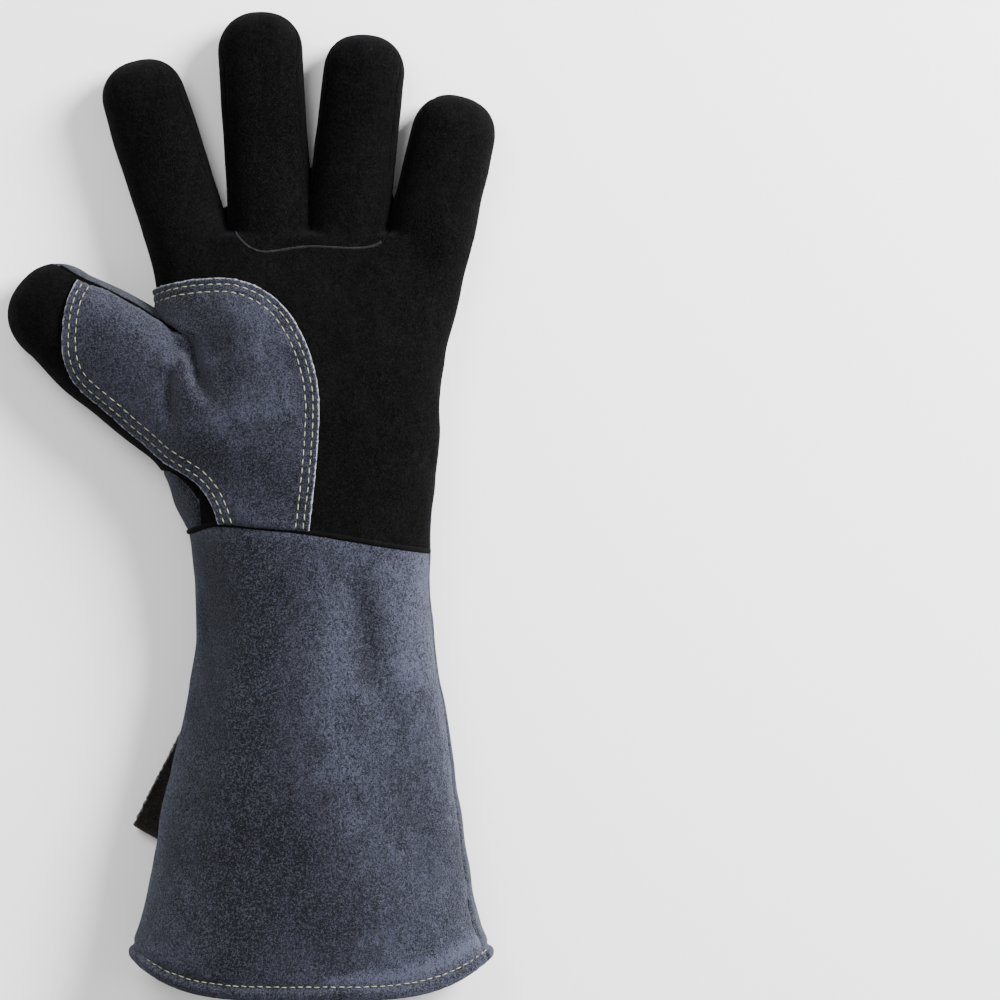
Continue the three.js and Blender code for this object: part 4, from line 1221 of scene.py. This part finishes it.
class GAUNTLET_OT_fourchettes(bpy.types.Operator):
    """The black strips between the fingers"""
    bl_idname = "gauntlet.fourchettes"
    bl_label = "Fourchettes"

    def execute(self, context):
        glove = sized()
        names = list(FINGERS)
        for first, second in zip(names, names[1:]):
            shape = panel_shape(glove, lambda points: glove.fourchette(first, second, points), BLACK_TURN,
                                BLACK_REACH)
            build("between_{}_{}".format(first, second), shape, black_split(),
                  ("fourchette_{}_{}".format(first, second),))
        return {"FINISHED"}


class GAUNTLET_OT_patch(bpy.types.Operator):
    """The suede patch over palm and thumb"""
    bl_idname = "gauntlet.patch"
    bl_label = "Patch"

    def execute(self, context):
        build("patch", patch_shape(sized()), patch_suede(), ("thumb_patch",))
        return {"FINISHED"}


class GAUNTLET_OT_cuff(bpy.types.Operator):
    """The front of the cuff, wrapped round the thumb side on to the back"""
    bl_idname = "gauntlet.cuff"
    bl_label = "Cuff front"

    def execute(self, context):
        glove = sized()
        build("cuff", panel_shape(glove, glove.cuff_front), suede(), ("cuff_front",))
        return {"FINISHED"}


class GAUNTLET_OT_welts(bpy.types.Operator):
    """The piping in the wrist seam and in both side seams of the cuff"""
    bl_idname = "gauntlet.welts"
    bl_label = "Welts"

    def execute(self, context):
        glove = sized()
        for name, line, radius, depth in wrist_and_side_lines(glove):
            normals = glove.outwards(line)
            line = line + (glove.relief(line, normals) - depth)[:, None] * normals
            shape = cord_shape(line, normals, radius * (1 + 0.06 * noise(line, 7, 51)))
            build(name + "_piping", shape, piping(), (name,))
        for name, plan, radius, sunk in (("thumb_seam_edge", THUMB_LINE[1:], 0.6, 0.1),
                                         ("two_finger_seam_edge", TWO_FINGER_BASE, 0.5, 0.05)):
            line = smooth_line(glove.on_palm(plan), 200)
            line = np.stack([np.convolve(np.pad(column, 14, "edge"), np.full(29, 1 / 29), "valid")
                             for column in line.T], 1)[14:-20]
            line = drop_on_top(glove, np.concatenate([line, np.zeros((len(line), 1))], 1))
            line = evenly(line[line[:, 2] > 8], 0.8)
            normals = glove.outwards(line)
            line = line + (glove.relief(line, normals) - sunk)[:, None] * normals
            # The two fingers' seam edge gets the lighter cord, a painted highlight where the edge catches the
            # light; the thumb's gets the black piping
            build(name, cord_shape(line, normals, radius * (1 + 0.15 * noise(line, 5, 52)), 8),
                  piping() if name[0] == "t" and name[1] == "h" else highlit_seam_lip())
        return {"FINISHED"}


def wrist_and_side_lines(glove):
    """Where the three welts run: round the front at the wrist, and down the cuff's two side seams."""
    round_front = girth(glove, np.radians(np.linspace(8, 236, 260)), glove.wrist_line)
    round_front = evenly(round_front[glove.front(round_front) < 0], 1.2)
    y = np.linspace(-2, -glove.cuff_length + 12, 170)
    knots, centres, halves, lows, highs = glove.body_rows
    centre, half, low, high = (smooth_column(y, knots, c) for c in (centres, halves, lows, highs))
    waist = low + WAIST * (high - low)
    x = glove.side_line(y)
    u = np.clip(np.abs(x - centre) / half, 0, 0.999)
    under = waist - (waist - low) * (1 - u ** WAIST_POWER) ** (1 / CROWN_POWER)
    thumb_side = on_skin(glove, np.stack([x, y, np.maximum(under, 0.4)], 1))
    z = glove.seam_height(centre + half, y)
    v = np.clip(np.abs(z - waist) / (high - waist), 0, 0.999)
    far_side = np.stack([centre + half * (1 - v ** CROWN_POWER) ** (1 / WAIST_POWER), y, z], 1)
    far_side = evenly(on_skin(glove, far_side[y > 24 - glove.cuff_length]), 1.2)
    fade = smooth_step(np.linspace(0, 1, 170), 0.3, 0.62)
    to_end = smooth_step(np.arange(len(round_front))[::-1] * 1.2, 2, 16)
    return (("wrist_welt", round_front, 1.3 - 0.15 * to_end, 1.25 - 0.85 * to_end),
            ("thumb_side_welt", thumb_side, 1.0 - 0.25 * fade, 0.35 + 0.9 * fade),
            ("far_side_welt", far_side, np.full(len(far_side), 0.55), np.full(len(far_side), 1.35)))


class GAUNTLET_OT_loop(bpy.types.Operator):
    """The hanging loop, a strap folded in half and sewn under the seam on the thumb side"""
    bl_idname = "gauntlet.loop"
    bl_label = "Hanging loop"

    def execute(self, context):
        build("loop", loop_shape(sized(), context.scene.gauntlet_loop), strap_leather(),
              ("hanging_loop",))
        return {"FINISHED"}


def loop_shape(glove, sizes):
    """A strap along a closed path: out along its lower layer, round the fold, back along its upper one. Half
    the gap between the layers is sin(pi s^1.6)^0.7, s from 0 at the seam to 1 at the fold."""
    reach, width, opening = (value / TO_METRES for value in (sizes.reach, sizes.width, sizes.opening))
    y = -0.456 * glove.cuff_length
    x = float(glove.side_line(np.array([y]))[0])
    knots, centres, halves, lows, highs = glove.body_rows
    centre, half, low, high = (float(smooth_column(y, knots, c)) for c in (centres, halves, lows, highs))
    waist = low + WAIST * (high - low)
    under = waist - (waist - low) * (1 - min(abs(x - centre) / half, 1) ** WAIST_POWER) ** (1 / CROWN_POWER)
    sewn, folded = under - 0.3 - LEATHER, 0.3 + LEATHER + opening / 2
    s = np.linspace(0, 1, 60)
    middle = sewn + (folded - sewn) * np.sin(np.pi / 2 * s)
    gap = opening / 2 * np.sin(np.pi * s ** 1.6).clip(0) ** 0.7 + LEATHER / 2
    gap[-1] = gap[-2] * 0.6
    turn_angle = np.linspace(-np.pi / 2, np.pi / 2, 9)[1:-1]
    out = np.concatenate([s * reach, reach + gap[-1] * np.cos(turn_angle), (s * reach)[::-1]])
    up = np.concatenate([middle - gap, middle[-1] + gap[-1] * np.sin(turn_angle), (middle + gap)[::-1]])
    up = np.maximum(up, 0.95)
    path = evenly(np.stack([out, up], 1), 0.8)
    way = np.gradient(path, axis=0)
    way /= np.linalg.norm(way, axis=1, keepdims=True)
    away = np.stack([way[:, 1], -way[:, 0]], 1)
    across = np.concatenate([[-0.5, -0.485, -0.45], np.linspace(-0.4, 0.4, 17), [0.45, 0.485, 0.5]]) * width
    lean = sizes.lean
    downwards = np.array((-np.sin(lean), -np.cos(lean), 0.0))
    side = np.cross(downwards, (0, 0, 1))
    grid_path, grid_across = np.meshgrid(np.arange(len(path)), np.arange(len(across)), indexing="ij")
    shift = across[grid_across]
    plain = path[grid_path, 0][..., None] * downwards + shift[..., None] * side
    plain[..., 2] = path[grid_path, 1]
    plain = plain.reshape(-1, 3) + (x, y, 0)
    normal = (away[grid_path, 0][..., None] * downwards).reshape(-1, 3)
    normal[:, 2] = away[grid_path, 1].ravel()
    edge = width / 2 - np.abs(shift.ravel())
    wall = LEATHER / 2 * (1 - 0.5 * np.exp(-edge / 0.4))
    ragged = 0.25 * np.exp(-edge / 0.5) * noise(plain, 2.0, 61)
    bent = 0.35 * noise(plain, 18, 62) * smooth_step(plain[:, 2], 1, 5)
    outer = plain + (wall + bent)[:, None] * normal + ragged[:, None] * side
    inner = plain - (wall - bent)[:, None] * normal + ragged[:, None] * side
    i, j = np.meshgrid(np.arange(len(path) - 1), np.arange(len(across) - 1), indexing="ij")
    a = (i * len(across) + j).reshape(-1)
    b, c, d = a + 1, a + len(across) + 1, a + len(across)
    faces = np.concatenate([np.stack([a, d, c], 1), np.stack([a, c, b], 1)])
    normals_ok = np.cross(plain[faces[:, 1]] - plain[faces[:, 0]], plain[faces[:, 2]] - plain[faces[:, 0]])
    if (normals_ok * normal[faces[:, 0]]).sum() < 0:
        faces = faces[:, ::-1]
    shape = closed_shell(outer, inner, faces)
    return shape + (np.concatenate([edge, edge]), np.zeros(2 * len(outer)))


class GAUNTLET_OT_stitches(bpy.types.Operator):
    """The rows of thread round the patch and round the hem"""
    bl_idname = "gauntlet.stitches"
    bl_label = "Stitches"

    def execute(self, context):
        glove = sized()
        build("patch_stitches", patch_stitches(glove), thread())
        build("hem_stitches", hem_stitches(glove), thread())
        return {"FINISHED"}


def patch_stitches(glove):
    """Two rows inside the patch's raw edges: along its curved side over the palm, and round its thumb part."""
    shapes = []
    for part in (0, 2):
        outline = smooth_line(glove.on_palm(PATCH_OUTLINE[part]), 400)
        way = np.gradient(outline, axis=0)
        way /= np.linalg.norm(way, axis=1, keepdims=True)
        inwards = np.stack([-way[:, 1], way[:, 0]], 1)
        for row in PATCH_ROWS:
            plan = evenly(outline + row * inwards, 0.5)
            place = np.concatenate([plan, np.full((len(plan), 1), glove.palm_height)], 1)
            place = drop_on_top(glove, place)
            normals = glove.outwards(place)
            raw, sewn = glove.patch_edges(place)
            shown = (raw > row - 0.6) & (sewn > 0.5) & (glove.patch(place) < 0)
            place, normals, raw, sewn = place[shown], normals[shown], raw[shown], sewn[shown]
            height = glove.relief(place, normals) + patch_height(raw, sewn, place)
            shapes.append(stitch_shape(place + height[:, None] * normals, normals, 3.7, 2.75))
    return joined(shapes)


def drop_on_top(glove, points):
    """The highest places of the skin under the given ones, by halving."""
    low, high = np.full(len(points), 4.0), np.full(len(points), 60.0)
    grid = np.linspace(60, 4, 57)
    for z in grid:
        points[:, 2] = z
        inside = glove.skin(points) < 0
        low = np.where(inside & (low <= 4.0), z, low)
    high = low + 1.0
    for _ in range(12):
        middle = (low + high) / 2
        points[:, 2] = middle
        inside = glove.skin(points) < 0
        low, high = np.where(inside, middle, low), np.where(inside, high, middle)
    points[:, 2] = low
    return points


def hem_stitches(glove):
    """One row all round the cuff above the hem."""
    line = girth(glove, np.linspace(0, 2 * np.pi, 1000), glove.hem_line, HEM_STITCH + 0.3)
    line = on_skin(glove, line)
    line = evenly(line, 0.5)
    normals = glove.outwards(line)
    line = line + (glove.relief(line, normals) - 0.95)[:, None] * normals
    return stitch_shape(line, normals, 3.3, 2.5)


class GAUNTLET_OT_stage(bpy.types.Operator):
    """The pale floor, the soft lights and the camera straight above"""
    bl_idname = "gauntlet.stage"
    bl_label = "Stage"

    def execute(self, context):
        mesh = bpy.data.meshes.new("floor")
        half = 3.0
        mesh.from_pydata([(-half, -half, -0.0002), (half, -half, -0.0002), (half, half, -0.0002),
                          (-half, half, -0.0002)], [], [(0, 1, 2, 3)])
        mesh.materials.append(floor_material())
        floor = bpy.data.objects.new("floor", mesh)
        context.collection.objects.link(floor)
        for name, place, size, power in (
                ("key", (1.15, 0.75, 0.9), 0.8, 106), ("fill", (-0.5, 0.8, 1.5), 0.9, 19),
                ("left_rim", (-1.5, 0.0, 0.16), 0.5, 8), ("right_rim", (1.6, -0.2, 0.25), 0.6, 25)):
            lamp = bpy.data.lights.new(name, "AREA")
            lamp.shape, lamp.size, lamp.energy = "DISK", size, power
            light = bpy.data.objects.new(name, lamp)
            light.location = place
            aim = np.array((0.0, 0.0, 0.02)) - np.array(place)
            light.rotation_euler = direction(aim)
            context.collection.objects.link(light)
        world = bpy.data.worlds.new("sky")
        world.use_nodes = True
        world.node_tree.nodes["Background"].inputs[0].default_value = (1, 1, 1, 1)
        world.node_tree.nodes["Background"].inputs[1].default_value = 0.58
        context.scene.world = world
        lens = bpy.data.cameras.new("camera")
        lens.lens, lens.sensor_width = 36 * 2.58 / 0.4122, 36
        lens.clip_end = 20
        camera = bpy.data.objects.new("camera", lens)
        camera.location = (0.1026, 0.0014, 2.6)
        context.collection.objects.link(camera)
        context.scene.camera = camera
        return {"FINISHED"}


def direction(aim):
    """Euler angles that turn an object's -Z towards aim."""
    return (np.arctan2(np.hypot(aim[0], aim[1]), -aim[2]), 0, np.arctan2(aim[1], aim[0]) - np.pi / 2)


class GAUNTLET_PT_panel(bpy.types.Panel):
    bl_idname = "GAUNTLET_PT_panel"
    bl_label = "Welding gauntlet"
    bl_space_type = "VIEW_3D"
    bl_region_type = "UI"
    bl_category = "Gauntlet"

    def draw(self, context):
        for group_name in ("gauntlet_sizes", "gauntlet_loop", "gauntlet_colours"):
            settings = getattr(context.scene, group_name)
            box = self.layout.box()
            for key in settings.bl_rna.properties.keys():
                if key not in ("rna_type", "name"):
                    box.prop(settings, key)
        for operator in OPERATORS:
            self.layout.operator(operator.bl_idname)


OPERATORS = (
    GAUNTLET_OT_backs, GAUNTLET_OT_fronts, GAUNTLET_OT_fourchettes, GAUNTLET_OT_patch, GAUNTLET_OT_cuff,
    GAUNTLET_OT_welts, GAUNTLET_OT_loop, GAUNTLET_OT_stitches, GAUNTLET_OT_stage,
)
SETTINGS = {"gauntlet_sizes": GauntletSizes, "gauntlet_loop": LoopSizes, "gauntlet_colours": GauntletColours}


def register():
    for settings in SETTINGS.values():
        bpy.utils.register_class(settings)
    for name, settings in SETTINGS.items():
        setattr(bpy.types.Scene, name, PointerProperty(type=settings))
    for operator in OPERATORS:
        bpy.utils.register_class(operator)
    bpy.utils.register_class(GAUNTLET_PT_panel)


def unregister():
    bpy.utils.unregister_class(GAUNTLET_PT_panel)
    for operator in reversed(OPERATORS):
        bpy.utils.unregister_class(operator)
    for name, settings in SETTINGS.items():
        delattr(bpy.types.Scene, name)
        bpy.utils.unregister_class(settings)


def main():
    register()
    for operator in OPERATORS:
        family, name = operator.bl_idname.split(".")
        getattr(getattr(bpy.ops, family), name)()


if __name__ == "__main__":
    main()
